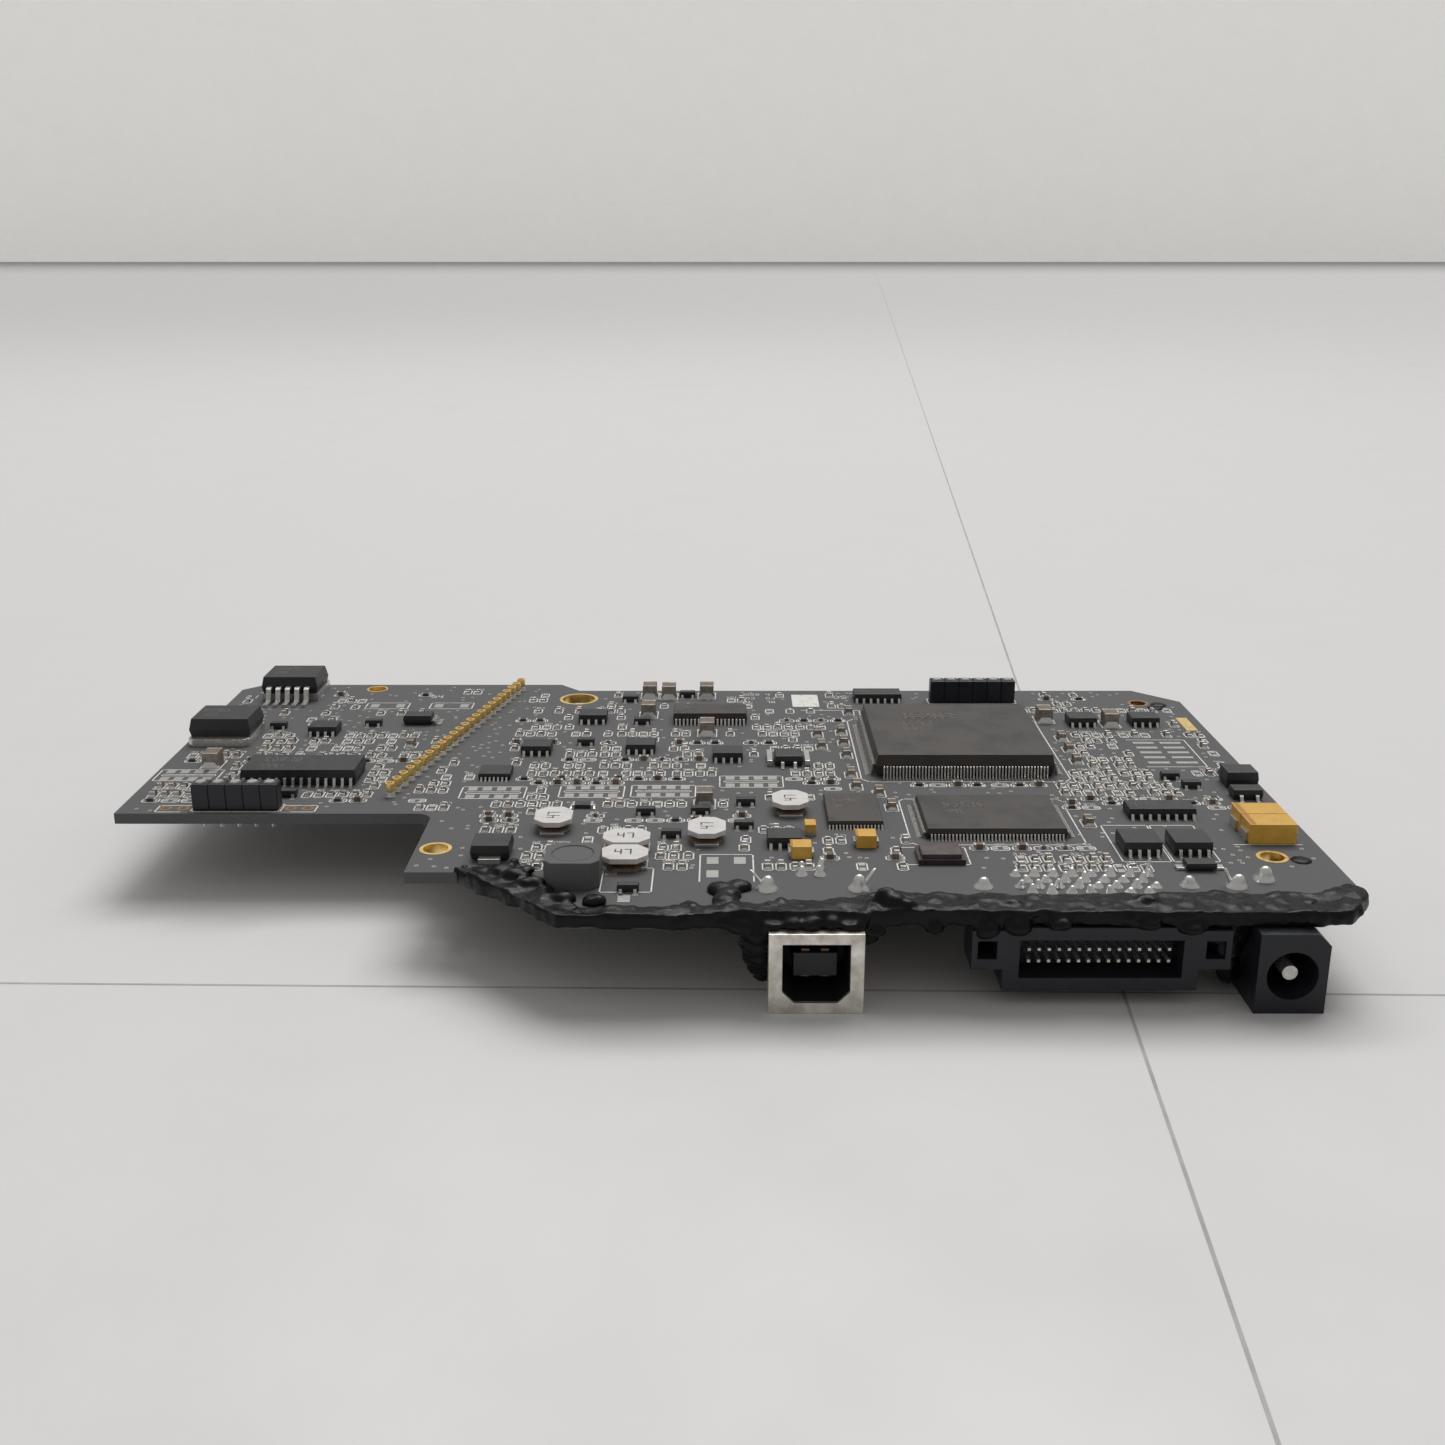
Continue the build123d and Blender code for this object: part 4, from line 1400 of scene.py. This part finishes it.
@dataclass
class Discretes(Section):
    """Larger two-ended parts: shielded inductor, oscillator, diodes and tantalums."""

    kept: tuple = (
        ("shielded_inductor", Stock.GREY, 0.12), ("oscillator_base", Stock.CERAMIC, 0.05),
        ("oscillator_lid", Stock.LID, 0.08), ("tantalum_bodies", Stock.YELLOW, 0.12),
        ("tantalum_terminals", Stock.TIN, 0.03),
    )
    tantalums: tuple = (
        (80.0, -25.2, 0, 7.3, 4.3, 2.9), (80.0, -20.7, 0, 7.3, 4.3, 2.9), (14.0, -31.6, 0, 3.5, 2.8, 1.9),
        (23.2, -27.6, 0, 3.5, 2.8, 1.9), (15.7, -22.9, 90, 3.2, 1.6, 1.6),
    )
    bar_length: float = 0.10
    bar_width: float = 0.93
    bar_place: float = 0.38
    diode_sizes: tuple = ((-28.3, -31.2, 90, 5.0, 5.4, 2.3), (67.2, -36.2, 0, 4.2, 2.2, 1.2))
    diode_room: Spots = ((-28.3, -31.4, 90), (66.4, -36.6, 0))
    square_room: Spots = ((-16.4, -39.8, 0), (32.9, -32.5, 0))
    tab_length: float = 1.5
    tab_width: float = 0.55
    tab_height: float = 0.34
    tab_reach: float = 0.35

    def build(self) -> None:
        """Builds and dresses the parts."""
        for name, stock, soft in self.kept:
            Bench.keep(name, stock, soft)
        self.diodes()
        self.bars()
        self.deck.take_all(self.square_room, 7.4, 7.4, 0.6)
        self.deck.take_all(self.diode_room, 8.6, 5.4, 0.4)

    def bars(self) -> None:
        """Dark bars over one end of each yellow capacitor."""
        bars = []
        for x, y, turn, length, width, height in self.tantalums:
            self.deck.take_all([(x, y, turn)], length, width, 0.6)
            bar = Bench.block(length * self.bar_length, width * self.bar_width, height - 0.1, height + 0.012)
            place = self.deck.at(x, y, turn) @ Deck.step(-length * self.bar_place, 0)
            bars.append(Bench.spread(bar, [place]))
        Bench.finish(Bench.join(bars), "tantalum_bars", Stock.DARK_YELLOW)

    def diodes(self) -> None:
        """Two flat-tabbed diodes, the right one the smaller."""
        bodies, tabs = [], []
        for x, y, turn, length, width, height in self.diode_sizes:
            spot = self.deck.at(x, y, turn)
            bodies.append(Bench.spread(Bench.block(length, width, 0.25, height, 0.94, 0.12), [spot]))
            tab_width, tab_height = width * self.tab_width, height * self.tab_height
            tab = Bench.block(self.tab_length, tab_width, 0.0, tab_height, 1.0, 0.06)
            shifts = [Deck.step(side * (length / 2 + self.tab_reach), 0) for side in (-1, 1)]
            tabs.append(Bench.spread(tab, [spot @ shift for shift in shifts]))
        Bench.finish(Bench.join(bodies), "diode_mouldings", Stock.EPOXY, ("diode_bodies",))
        Bench.finish(Bench.join(tabs), "diode_lands", Stock.TIN, ("diode_tabs",))


@dataclass
class OddParts(Section):
    """Single parts that share no shape with the others."""

    blocks: tuple = (
        (82.9, -2.5, 5.0, 4.2, 2.6), (82.2, -8.3, 4.6, 2.8, 1.6), (13.8, 8.0, 4.6, 4.4, 1.7),
        (-49.5, 29.0, 5.0, 3.0, 1.7),
    )
    wings: Spots = ((10.8, 8.6, 0), (16.8, 8.6, 0))
    lead: Package = Package("odd", 3, 3, 1.7, 6.4, 2, 1.6, 0.5, thickness=0.2)
    feet: Spots = (
        (12.8, 5.8, 0), (14.8, 5.8, 0), (81.0, -9.6, 0), (83.4, -9.6, 0),
        (-47.1, 27.8, 90), (-47.1, 28.6, 90), (-47.1, 29.4, 90), (-47.1, 30.2, 90),
    )
    dab: Outline = ((1.5, -0.03), (1.35, 0.14), (0.8, 0.3))
    dabs: Spots = ((81.7, 39.5, 0), (81.9, -33.3, 0), (80.6, 37.6, 0))
    lands: Spots = (
        (1.9, -33.4, 0), (5.6, -33.4, 0), (1.9, -38.0, 0), (-9.4, -46.0, 0), (-11.6, -37.2, 0),
        (74.9, -39.6, 90),
    )

    def build(self) -> None:
        """Builds the blocks, the wings of one, their leads and the dabs of adhesive."""
        bodies = [
            Bench.spread(Bench.block(length, width, 0.1, height, 0.93, 0.14), [self.deck.at(x, y)])
            for x, y, length, width, height in self.blocks
        ]
        Bench.finish(Bench.join(bodies), "odd_mouldings", Stock.EPOXY)
        wings = Bench.spread(Bench.block(0.9, 5.6, 0.0, 1.0, 1.0, 0.08), self.deck.spots(self.wings))
        feet = Bench.spread(self.lead.lead(), self.deck.spots(self.feet))
        Bench.finish(Bench.join([wings, feet]), "odd_leads", Stock.TIN)
        self.lay(Bench.turned(self.dab, 9), self.dabs, "adhesive_dabs", Stock.SEALANT, (), 60)
        self.lay(Bench.land(1.6, 2.4, 0.05), self.lands, "square_lands", Stock.PAD)
        self.legend.path([(0.2, -40.5), (0.2, -31.2), (7.4, -31.2), (7.4, -40.5)])
        for x, y, length, width, _ in self.blocks:
            self.deck.take(x, y, length, width, 0.9)
        self.deck.take(3.8, -36.0, 7.6, 10.0)


@dataclass
class TwoEnded(Section):
    """Chip capacitors and resistors with bright ends, laid row by row."""

    tall: Spots = (
        (-10.1, 45.2, 90), (-6.6, 44.8, 90), (0.3, 45.2, 90), (-9.8, 33.4, 90), (0.6, 23.1, 90),
        (0.55, -11.4, 90), (59.3, 30.5, 90), (70.2, 28, 90), (-78.3, 6.6, 90),
    )
    flat: Spots = (
        (19.3, 22, 90), (23.4, 23.2, 90), (23.4, 17.5, 90), (19.6, 15.5, 90), (23.4, 11, 90), (23.4, 1.5, 90),
        (23.8, -4, 90), (27, -7, 90), (28.3, -13, 90), (25.5, 34.5, 90), (56, -19.5, 90), (-48.5, 16.5, 90),
        (60.2, 8, 90), (60.2, 14, 90), (60.2, 20, 90),
    )
    wide: Spots = ((-17.5, -12.5, 0),)
    fields: tuple = (
        (-31.5, 17.0, -36.5, 28.0, 0.88), (-86.0, -49.5, -11.0, 24.0, 0.86), (54.5, 84.5, -14.0, 39.0, 0.84),
        (-86.0, -49.5, 27.0, 50.0, 0.30), (-44.0, -31.0, -14.0, 10.0, 0.5),
        (33.0, 52.0, -4.2, -2.0, 1.0), (35.5, 55.0, -30.0, -27.9, 1.0), (43.0, 57.0, -37.0, -32.0, 0.9),
        (-32.0, 27.0, 29.0, 50.5, 0.45), (54.5, 84.0, -13.0, -8.0, 0.6), (17.5, 33.0, -36.5, -21.5, 0.6),
        (61.0, 75.0, 30.5, 48.0, 0.35),
    )
    small: tuple = (
        ("small_tan_chips", "tan", (1.6, 0.8, 0.8, 0.36), Stock.TAN),
        ("small_brown_chips", "brown", (1.6, 0.8, 0.75, 0.36), Stock.BROWN),
        ("small_resistors", "dark", (1.6, 0.8, 0.45, 0.32), Stock.RESISTOR),
        ("tiny_chips", "tiny", (1.05, 0.55, 0.5, 0.27), Stock.TAN),
    )
    kinds: tuple[str, ...] = ("tan", "brown", "dark", "tiny", "bare")
    weights: tuple[int, ...] = (4, 4, 7, 3, 3)
    room: Point = (1.7, 2.85)
    gap: float = 0.12
    print_inset: float = 0.35
    seed: int = 11

    def build(self) -> None:
        """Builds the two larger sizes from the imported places, then the small ones."""
        self.deck.take_all(self.tall, 3.4, 2.7, 0.5)
        self.deck.take_all(self.flat, 2.3, 1.4, 0.5)
        self.deck.take_all(self.wide, 3.8, 2.0)
        nodes = ("ceramic_capacitors",)
        self.kind("tall_capacitors", self.tall, (3.2, 2.5, 2.4, 0.55), Stock.TAN, nodes, Stock.FIRED)
        self.kind("flat_capacitors", self.flat, (2.0, 1.25, 1.2, 0.4), Stock.BROWN, (), Stock.FIRED)
        self.kind("wide_resistor", self.wide, (3.2, 1.6, 0.6, 0.45), Stock.RESISTOR, ("chip_resistor",))
        for spots, length, width in ((self.tall, 3.2, 4.4), (self.flat, 1.9, 3.2)):
            for x, y, _ in spots:
                self.legend.frame(x, y, length, width)
        self.rows()

    def kind(
        self, name: str, spots: Spots, size: tuple, stock: Stock, nodes: Nodes = (), tip: Stock = Stock.TIN
    ) -> None:
        """Builds one size: bodies, bright ends and lands.

        Args:
            name: Name of the bodies.
            spots: Places.
            size: Length, width, height and length of an end.
            stock: Finish of the bodies.
            nodes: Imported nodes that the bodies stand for.
            tip: Finish of the ends.
        """
        length, width, height, cap = size
        body = Bench.block(length - cap, width * 0.96, 0.02, height * 0.97)
        self.lay(body, spots, name, stock, nodes)
        end = Bench.block(cap, width, 0.0, height, 1.0, min(0.08, width * 0.07))
        places = self.deck.spots(spots)
        ends = [place @ Deck.step(side * (length - cap) / 2, 0) for place in places for side in (-1, 1)]
        Bench.finish(Bench.spread(end, ends), name + "_ends", tip)
        levels = [(-0.04, 1.0), (0.05, 1.0), (height * 0.42, 0.55)]
        fillet = Bench.loft(Bench.oblong(cap * 1.5, width * 1.15), levels)
        reach = length / 2 - cap * 0.05
        feet = [place @ Deck.step(side * reach, 0) for place in places for side in (-1, 1)]
        Bench.finish(Bench.spread(fillet, feet), name + "_fillets", Stock.SOLDER)

    def rows(self) -> None:
        """Fills the board's rows with the smallest parts, empty lands and their numbers."""
        rng = random.Random(self.seed)
        laid: dict[str, list[Spot]] = {kind: [] for kind in self.kinds}
        for area in self.fields:
            y = area[2] + 1.0
            while y < area[3]:
                y += self.row(rng, laid, area, y) + rng.choice((0.15, 0.15, 0.9))
        for name, kind, size, stock in self.small:
            self.kind(name, laid[kind], size, stock)
        places = self.deck.spots(laid["bare"])
        bare = [place @ Deck.step(side * 0.72, 0) for place in places for side in (-1, 1)]
        Bench.finish(Bench.spread(Bench.land(0.75, 0.85, 0.04, 0.04), bare), "bare_lands", Stock.PAD)
        LOG.info("small parts: %s", {kind: len(spots) for kind, spots in laid.items()})

    def row(self, rng: random.Random, laid: dict[str, list[Spot]], area: tuple, y: float) -> float:
        """Lays one row of small parts, in runs with gaps between them.

        Args:
            rng: The seeded draws.
            laid: Places so far, by kind.
            area: Left, right, front and back of the field, and the share of it that is filled.
            y: Place of the row.

        Returns:
            The row's depth.
        """
        left, right, _, _, share = area
        x = left + rng.uniform(0.3, 1.2)
        upright = rng.random() < 0.6
        wide, deep = self.room if upright else self.room[::-1]
        turn = 90.0 if upright else 0.0
        while x < right:
            for _ in range(rng.randint(3, 8)):
                if rng.random() < share and self.deck.free(x, y, wide, deep):
                    self.one(rng, laid, (x, y, turn), wide, deep)
                x += wide + self.gap
            x += rng.uniform(0.0, 0.9)
        return deep

    def one(
        self, rng: random.Random, laid: dict[str, list[Spot]], spot: Spot, wide: float, deep: float
    ) -> None:
        """Lays one small part in its printed box, at times with a number behind it.

        Args:
            rng: The seeded draws.
            laid: Places so far, by kind.
            spot: Its place.
            wide: Its room along X.
            deep: Its room along Y.
        """
        x, y, _ = spot
        laid[rng.choices(self.kinds, self.weights)[0]].append(spot)
        self.legend.frame(x, y, wide - self.print_inset, deep - self.print_inset)
        self.deck.take(x, y, wide, deep, 0.0)
        if rng.random() < 0.5 and self.deck.free(x, y + deep / 2 + 0.55, 1.6, 0.7):
            text = str(rng.randint(10, 399))
            self.legend.number(text, x - 0.8, y + deep / 2 + 0.15, 0.75)


@dataclass
class Vias(Section):
    """Small plated through holes in the free places."""

    count: int = 420
    side: float = 84.0
    front: float = -36.0
    back: float = 51.0
    profile: Outline = ((0.32, -0.02), (0.32, 0.03), (0.15, 0.03), (0.13, -0.01))
    seed: int = 5

    def build(self) -> None:
        """Scatters the lands where nothing stands."""
        rng = random.Random(self.seed)
        spots = []
        while len(spots) < self.count:
            x, y = rng.uniform(-self.side, self.side), rng.uniform(self.front, self.back)
            if self.deck.free(x, y, 0.8, 0.8):
                spots.append((x, y, 0))
                self.deck.take(x, y, 0.7, 0.7, 0.1)
        self.lay(Bench.turned(self.profile, 8), spots, "vias", Stock.PAD)


@dataclass
class Ports(Section):
    """The three connectors under the front edge."""

    kept: tuple = (
        ("usb_shell", Stock.SHELL, 0.12), ("usb_insulator", Stock.INSULATOR, 0.08),
        ("usb_contacts", Stock.COPPER, 0.0), ("accessory_housing", Stock.CONNECTOR, 0.1),
        ("accessory_pins", Stock.TIN, 0.04), ("jack_housing", Stock.CONNECTOR, 0.12),
        ("jack_pin", Stock.TIN, 0.06),
    )
    slot_middle: Spot = (15.0, -44.0, 5.4)
    slot_reach: float = 6.0

    def build(self) -> None:
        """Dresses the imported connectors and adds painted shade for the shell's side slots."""
        for name, stock, soft in self.kept:
            Bench.keep(name, stock, soft)
        self.slots()

    def slots(self) -> None:
        """Thin dark sheets on the sides of the USB shell, painted shade standing for the inside of pressed
        slots.
        """
        x, y, z = self.slot_middle
        slots = [Deck.step(x + side * self.slot_reach, y + self.deck.datum, z) for side in (-1, 1)]
        # painted shade: a thin black sheet on each side of the shell stands for the dark inside of a slot
        slot = Bench.block(0.12, 3.2, -1.4, 1.4, 1.0, 0.05)
        Bench.finish(Bench.spread(slot, slots), "shell_slots", Stock.INSULATOR)


@dataclass
class SolderJoints(Section):
    """Uneven spikes of solder over the connectors' tails."""

    rows: tuple[float, ...] = (-38.3, -40.2, -42.1, -44.0)
    middle: float = 51.0
    pitch: float = 1.27
    columns: int = 15
    others: tuple = (
        (13.75, -38.2, 1.1, 1.0), (16.25, -38.2, 1.1, 1.1), (13.75, -36.2, 1.1, 1.0),
        (16.25, -36.2, 1.1, 1.2), (9.0, -42.9, 1.9, 1.5), (21.0, -42.9, 1.9, 1.7),
        (37.3, -42.1, 1.7, 1.1), (64.3, -41.8, 1.7, 1.2), (70.4, -42.0, 1.9, 1.4), (74.7, -39.7, 2.0, 1.6),
    )
    bent: tuple = (
        (9.0, -42.7, -0.9, 0.3), (21.3, -42.7, 0.8, 0.5), (59.5, -38.2, 0.2, 0.1), (69.8, -42.0, -0.4, 0.2),
    )
    spike: Outline = (
        (0.80, -0.05), (0.78, 0.07), (0.60, 0.28), (0.48, 0.60), (0.40, 0.90), (0.27, 1.15), (0.08, 1.26),
    )
    tail: Outline = ((0.3, 0.0), (0.26, 1.9), (0.16, 2.3))
    seed: int = 3

    def build(self) -> None:
        """Builds the joints, each leaning and stretched its own way."""
        rng = random.Random(self.seed)
        places = []
        for column in range(self.columns):
            for row in (0, 2) if column % 2 == 0 else (1, 3):
                x = self.middle + self.pitch * (column - (self.columns - 1) / 2)
                places.append(self.joint(rng, x, self.rows[row], 1.0, rng.uniform(0.5, 1.05)))
        places += [self.joint(rng, x, y, wide, tall) for x, y, wide, tall in self.others]
        spikes = Bench.join([Bench.spread(Bench.turned(self.spike, 12), places), self.tails()])
        Bench.finish(spikes, "joint_spikes", Stock.SOLDER, ("solder_joints",), 60)

    def tails(self) -> Piece:
        """Wire ends left leaning out of a few joints.

        Returns:
            The joined ends.
        """
        places = [self.deck.at(x, y) @ self.lean(lean_x, lean_y) for x, y, lean_x, lean_y in self.bent]
        return Bench.spread(Bench.turned(self.tail, 10), places)

    @staticmethod
    def lean(x: float, y: float) -> Matrix:
        """Matrix that leans an upright piece.

        Args:
            x: Shift along X for each unit of height.
            y: Shift along Y for each unit of height.

        Returns:
            The shear.
        """
        shear = Matrix.Identity(4)
        shear[0][2], shear[1][2] = x, y
        return shear

    def joint(self, rng: random.Random, x: float, y: float, wide: float, tall: float) -> Matrix:
        """Place, stretch and lean of one joint.

        Args:
            rng: The seeded draws.
            x: Place along X.
            y: Place along Y.
            wide: Stretch along X and Y.
            tall: Stretch along Z.

        Returns:
            Its matrix.
        """
        lean = self.lean(rng.uniform(-0.25, 0.25), rng.uniform(-0.25, 0.25))
        return self.deck.at(x, y, rng.uniform(0, 90)) @ lean @ Matrix.Diagonal((wide, wide, tall, 1))


@dataclass
class Sealant(Section):
    """Torn black sealant along the front edge and between the connectors."""

    lumps: tuple = (
        (7.6, -49.6, 10.0, 2.4), (7.7, -49.2, 8.0, 2.2), (7.8, -48.8, 6.0, 2.0), (8.0, -48.4, 4.2, 1.7),
        (8.3, -48.2, 2.8, 1.3), (21.6, -49.6, 10.0, 1.7), (21.5, -49.0, 8.4, 1.3),
        (66.8, -48.6, 9.4, 2.9), (67.4, -48.2, 7.0, 2.6), (67.9, -48.0, 4.6, 2.2), (68.4, -47.8, 3.0, 1.6),
        (-26.0, -38.2, 12.9, 1.5), (-24.0, -40.2, 13.1, 1.6), (-22.6, -38.0, 13.2, 1.2),
        (-21.6, -42.4, 12.9, 1.6), (-19.6, -44.8, 12.8, 1.5), (-17.2, -46.6, 12.8, 1.3),
        (-13.2, -47.6, 12.8, 1.2), (-24.6, -36.4, 13.4, 1.0),
        (3.2, -43.6, 12.6, 1.7), (5.2, -42.8, 12.7, 1.5),
        (4.1, -45.4, 12.6, 1.8), (3.6, -47.3, 12.6, 1.6), (9.5, -51.2, 11.3, 1.5), (12.0, -51.3, 11.6, 1.3),
        (14.5, -51.2, 11.4, 1.5), (17.0, -51.3, 11.6, 1.3), (19.5, -51.2, 11.3, 1.5), (5.5, -50.6, 11.0, 1.8),
        (3.0, -50.4, 11.4, 1.5), (40.5, -50.8, 11.0, 1.5), (45.5, -51.0, 11.4, 1.3), (57.0, -51.0, 11.4, 1.4),
        (62.5, -50.8, 10.8, 1.6), (25.0, -49.0, 13.4, 1.5), (24.0, -48.0, 13.9, 1.2),
        (26.4, -49.4, 13.2, 1.2), (21.8, -50.6, 10.2, 1.4), (36.5, -50.4, 10.4, 1.4),
        (81.0, -49.4, 12.0, 1.6), (84.2, -46.0, 12.2, 1.5),
        (30.0, -50.4, 10.6, 1.3),
    )
    reach: Point = (-31.5, 84.5)
    bare: Point = (-18.5, -3.0)
    sizes: Point = (0.5, 1.35)
    gaps: Point = (0.5, 1.7)
    front: float = -49.9
    corner: float = -17.0
    slope: float = 0.854
    level: float = 12.45
    voxel: float = 0.36
    pushes: tuple = (("swell", 3.6, 1.1), ("tear", 1.3, 0.32))
    seed: int = 8

    def build(self) -> None:
        """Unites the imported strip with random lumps, then roughens it."""
        rng = random.Random(self.seed)
        pieces = [Bench.from_node(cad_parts["sealant"])]
        for x, y, z, size in [*self.lumps, *self.edge_lumps(rng)]:
            Bench.clear()
            place = (x * MM, (y + self.deck.datum) * MM, z * MM)
            bpy.ops.mesh.primitive_ico_sphere_add(subdivisions=2, radius=size * MM, location=place)
            ball = bpy.context.active_object
            ball.scale = (rng.uniform(0.8, 1.5), rng.uniform(0.8, 1.3), rng.uniform(0.5, 0.9))
            bpy.ops.object.transform_apply(location=True, rotation=False, scale=True)
            pieces.append(ball)
        piece = Bench.join(pieces)
        self.roughen(piece)
        self.trim()
        Bench.finish(piece, "torn_sealant", Stock.SEALANT, ("sealant",), 60)

    def edge_lumps(self, rng: random.Random) -> list[tuple[float, float, float, float]]:
        """Random lumps along the front edge, which slants back left of its corner.

        Args:
            rng: The seeded draws.

        Returns:
            Place and size of each lump.
        """
        lumps = []
        x, end = self.reach
        while x < end:
            if not self.bare[0] < x < self.bare[1]:
                size = rng.uniform(*self.sizes)
                front = self.front if x > self.corner else self.front - (x - self.corner) * self.slope
                lumps.append((x, front + rng.uniform(-0.7, 2.2), self.level + rng.uniform(-0.5, 0.35), size))
            x += rng.uniform(*self.gaps)
        return lumps

    def roughen(self, piece: Piece) -> None:
        """Merges the lumps into one skin and pushes it about.

        Args:
            piece: The joined lumps.
        """
        Bench.pick(piece)
        skin = piece.modifiers.new("skin", "REMESH")
        skin.mode = "VOXEL"
        skin.voxel_size = self.voxel * MM
        bpy.ops.object.modifier_apply(modifier=skin.name)
        for name, scale, strength in self.pushes:
            texture = bpy.data.textures.new(name, "CLOUDS")
            texture.noise_scale = scale * MM
            push = piece.modifiers.new(name, "DISPLACE")
            push.texture = texture
            push.strength = strength * MM
            push.mid_level = 0.5
            bpy.ops.object.modifier_apply(modifier=push.name)
        calm = piece.modifiers.new("calm", "SMOOTH")
        calm.iterations = 2
        bpy.ops.object.modifier_apply(modifier=calm.name)

    def trim(self) -> None:
        """Cuts the active skin off at the right end and front of the whole board."""
        bpy.ops.object.mode_set(mode="EDIT")
        low, high = START
        for corner, normal in (((high[0], 0, 0), (1, 0, 0)), ((0, low[1], 0), (0, -1, 0))):
            bpy.ops.mesh.select_all(action="SELECT")
            bpy.ops.mesh.bisect(
                plane_co=corner, plane_no=normal, clear_outer=True, use_fill=True, threshold=WELD
            )
        bpy.ops.object.mode_set(mode="OBJECT")


@dataclass
class Studio:
    """Pale floor and wall, soft light and the photo's camera, in metres and degrees."""

    eye: Spot = (0.0034, -0.2307, 0.0945)
    pitch: float = 72.505
    lens: float = 39.09
    shift: float = -0.0008
    room: float = 14.0
    wall: float = 4.54
    wall_height: float = 1.2
    glow: float = 0.36
    joints: tuple = (
        ("joint_across", (-0.9, -0.0301), (0.9, -0.0625)), ("joint_away", (0.0375, -0.26), (0.35, 3.5)),
    )
    joint_width: float = 0.45 * MM
    joint_rise: float = 0.02 * MM
    sky: float = 0.36
    sky_tone: Tone = (1.0, 0.985, 0.965)
    sun: float = 1.6
    sun_turn: Spot = (-28, 12, 0)
    sun_width: float = 40
    lamp: float = 2.4
    lamp_place: Spot = (-0.25, 0.75, 1.0)
    lamp_size: Point = (0.7, 0.25)
    wall_tones: tuple[Tone, Tone] = ((0.86, 0.845, 0.82), (0.82, 0.805, 0.78))

    def build(self) -> None:
        """Sets the floor, wall, lamps, world and camera."""
        self.ground()
        self.light()
        self.camera()
        bpy.context.scene.view_settings.view_transform = "Standard"

    def camera(self) -> None:
        """The camera, where the photo was taken from."""
        data = bpy.data.cameras.new("camera")
        data.lens = self.lens
        data.sensor_width = 36
        data.shift_x = self.shift
        data.clip_start = 0.01
        camera = bpy.data.objects.new("camera", data)
        camera.location = self.eye
        camera.rotation_euler = (math.radians(self.pitch), 0, 0)
        bpy.context.collection.objects.link(camera)
        bpy.context.scene.camera = camera

    def ground(self) -> None:
        """Floor, wall and the thin joints between the floor's tiles."""
        floor = Finish(
            "floor_paint", (0.73, 0.725, 0.72), (0.69, 0.685, 0.68), (0.45, 0.6),
            grain=40, relief=0.25, relief_grain=9.0,
        ).material()
        joint = Finish("tile_joint", (0.36, 0.35, 0.34), (0.5, 0.49, 0.48), (0.7, 0.8), grain=6.0).material()
        half = self.room / 2
        self.plane("floor", floor, (0, self.wall - half, 0), (0, 0, 0), (self.room, self.room))
        upright = (math.radians(90), 0, 0)
        middle = (0, self.wall, self.wall_height / 2)
        self.plane("wall", self.wall_paint(), middle, upright, (self.room, self.wall_height))
        for name, start, end in self.joints:
            run = Vector(end) - Vector(start)
            place = (Vector(end) + Vector(start)) / 2
            turn = (0, 0, math.atan2(run.y, run.x))
            self.plane(name, joint, (*place, self.joint_rise), turn, (run.length, self.joint_width))

    @staticmethod
    def plane(name: str, paint: bpy.types.Material, place: tuple, turn: tuple, size: Point) -> None:
        """Adds one flat piece of the set.

        Args:
            name: Its name.
            paint: Its material.
            place: Its middle.
            turn: Its turn about X, Y and Z, in radians.
            size: Its length and width.
        """
        Bench.clear()
        bpy.ops.mesh.primitive_plane_add(size=1.0, location=place, rotation=turn)
        plane = bpy.context.active_object
        plane.scale = (*size, 1.0)
        bpy.ops.object.transform_apply(location=True, rotation=True, scale=True)
        plane.name = name
        plane.data.materials.append(paint)

    def wall_paint(self) -> bpy.types.Material:
        """Rough pale wall that the camera sees a little brighter than it is lit.

        Returns:
            The wall's material.
        """
        recipe = Recipe("wall_paint")
        tone = recipe.mix(recipe.noise(60.0), *self.wall_tones)
        seen = recipe.node("LightPath", {}, {}, "Is Camera Ray")
        recipe.set(Base_Color=tone, Roughness=0.85, Emission_Color=recipe.mix(seen, (0.0, 0.0, 0.0), tone))
        recipe.set(Emission_Strength=self.glow)
        recipe.bump(recipe.noise(25.0, 5.0), 0.7, 6.0)
        return recipe.material

    def light(self) -> None:
        """An even sky, one broad lamp high behind the board and a soft panel."""
        world = bpy.data.worlds.new("sky")
        world.use_nodes = True
        sky = world.node_tree.nodes["Background"]
        sky.inputs["Color"].default_value = (*self.sky_tone, 1)
        sky.inputs["Strength"].default_value = self.sky
        bpy.context.scene.world = world
        data = bpy.data.lights.new("lamp", "SUN")
        data.energy = self.sun
        data.angle = math.radians(self.sun_width)
        lamp = bpy.data.objects.new("lamp", data)
        lamp.rotation_euler = [math.radians(angle) for angle in self.sun_turn]
        bpy.context.collection.objects.link(lamp)
        data = bpy.data.lights.new("panel", "AREA")
        data.shape = "RECTANGLE"
        data.size, data.size_y = self.lamp_size
        data.energy = self.lamp
        panel = bpy.data.objects.new("panel", data)
        panel.location = self.lamp_place
        panel.rotation_euler = (-panel.location).to_track_quat("-Z", "Y").to_euler()
        bpy.context.collection.objects.link(panel)


SECTIONS = (
    Laminate, Chips, ChipNumbers, Transistors, DetectorRow, StripSockets, Regulators, Drums,
    Discretes, OddParts, TwoEnded, Vias, Ports, SolderJoints, Sealant,
)


def main() -> None:
    """Builds the board section by section and sets the scene."""
    logging.basicConfig(level=logging.INFO, format="%(message)s")
    deck = Deck()
    legend = Legend(deck)
    for section in SECTIONS:
        section(deck, legend).build()
    legend.build("printed_legend", Stock.INK)
    Studio().build()


if __name__ == "__main__":
    main()
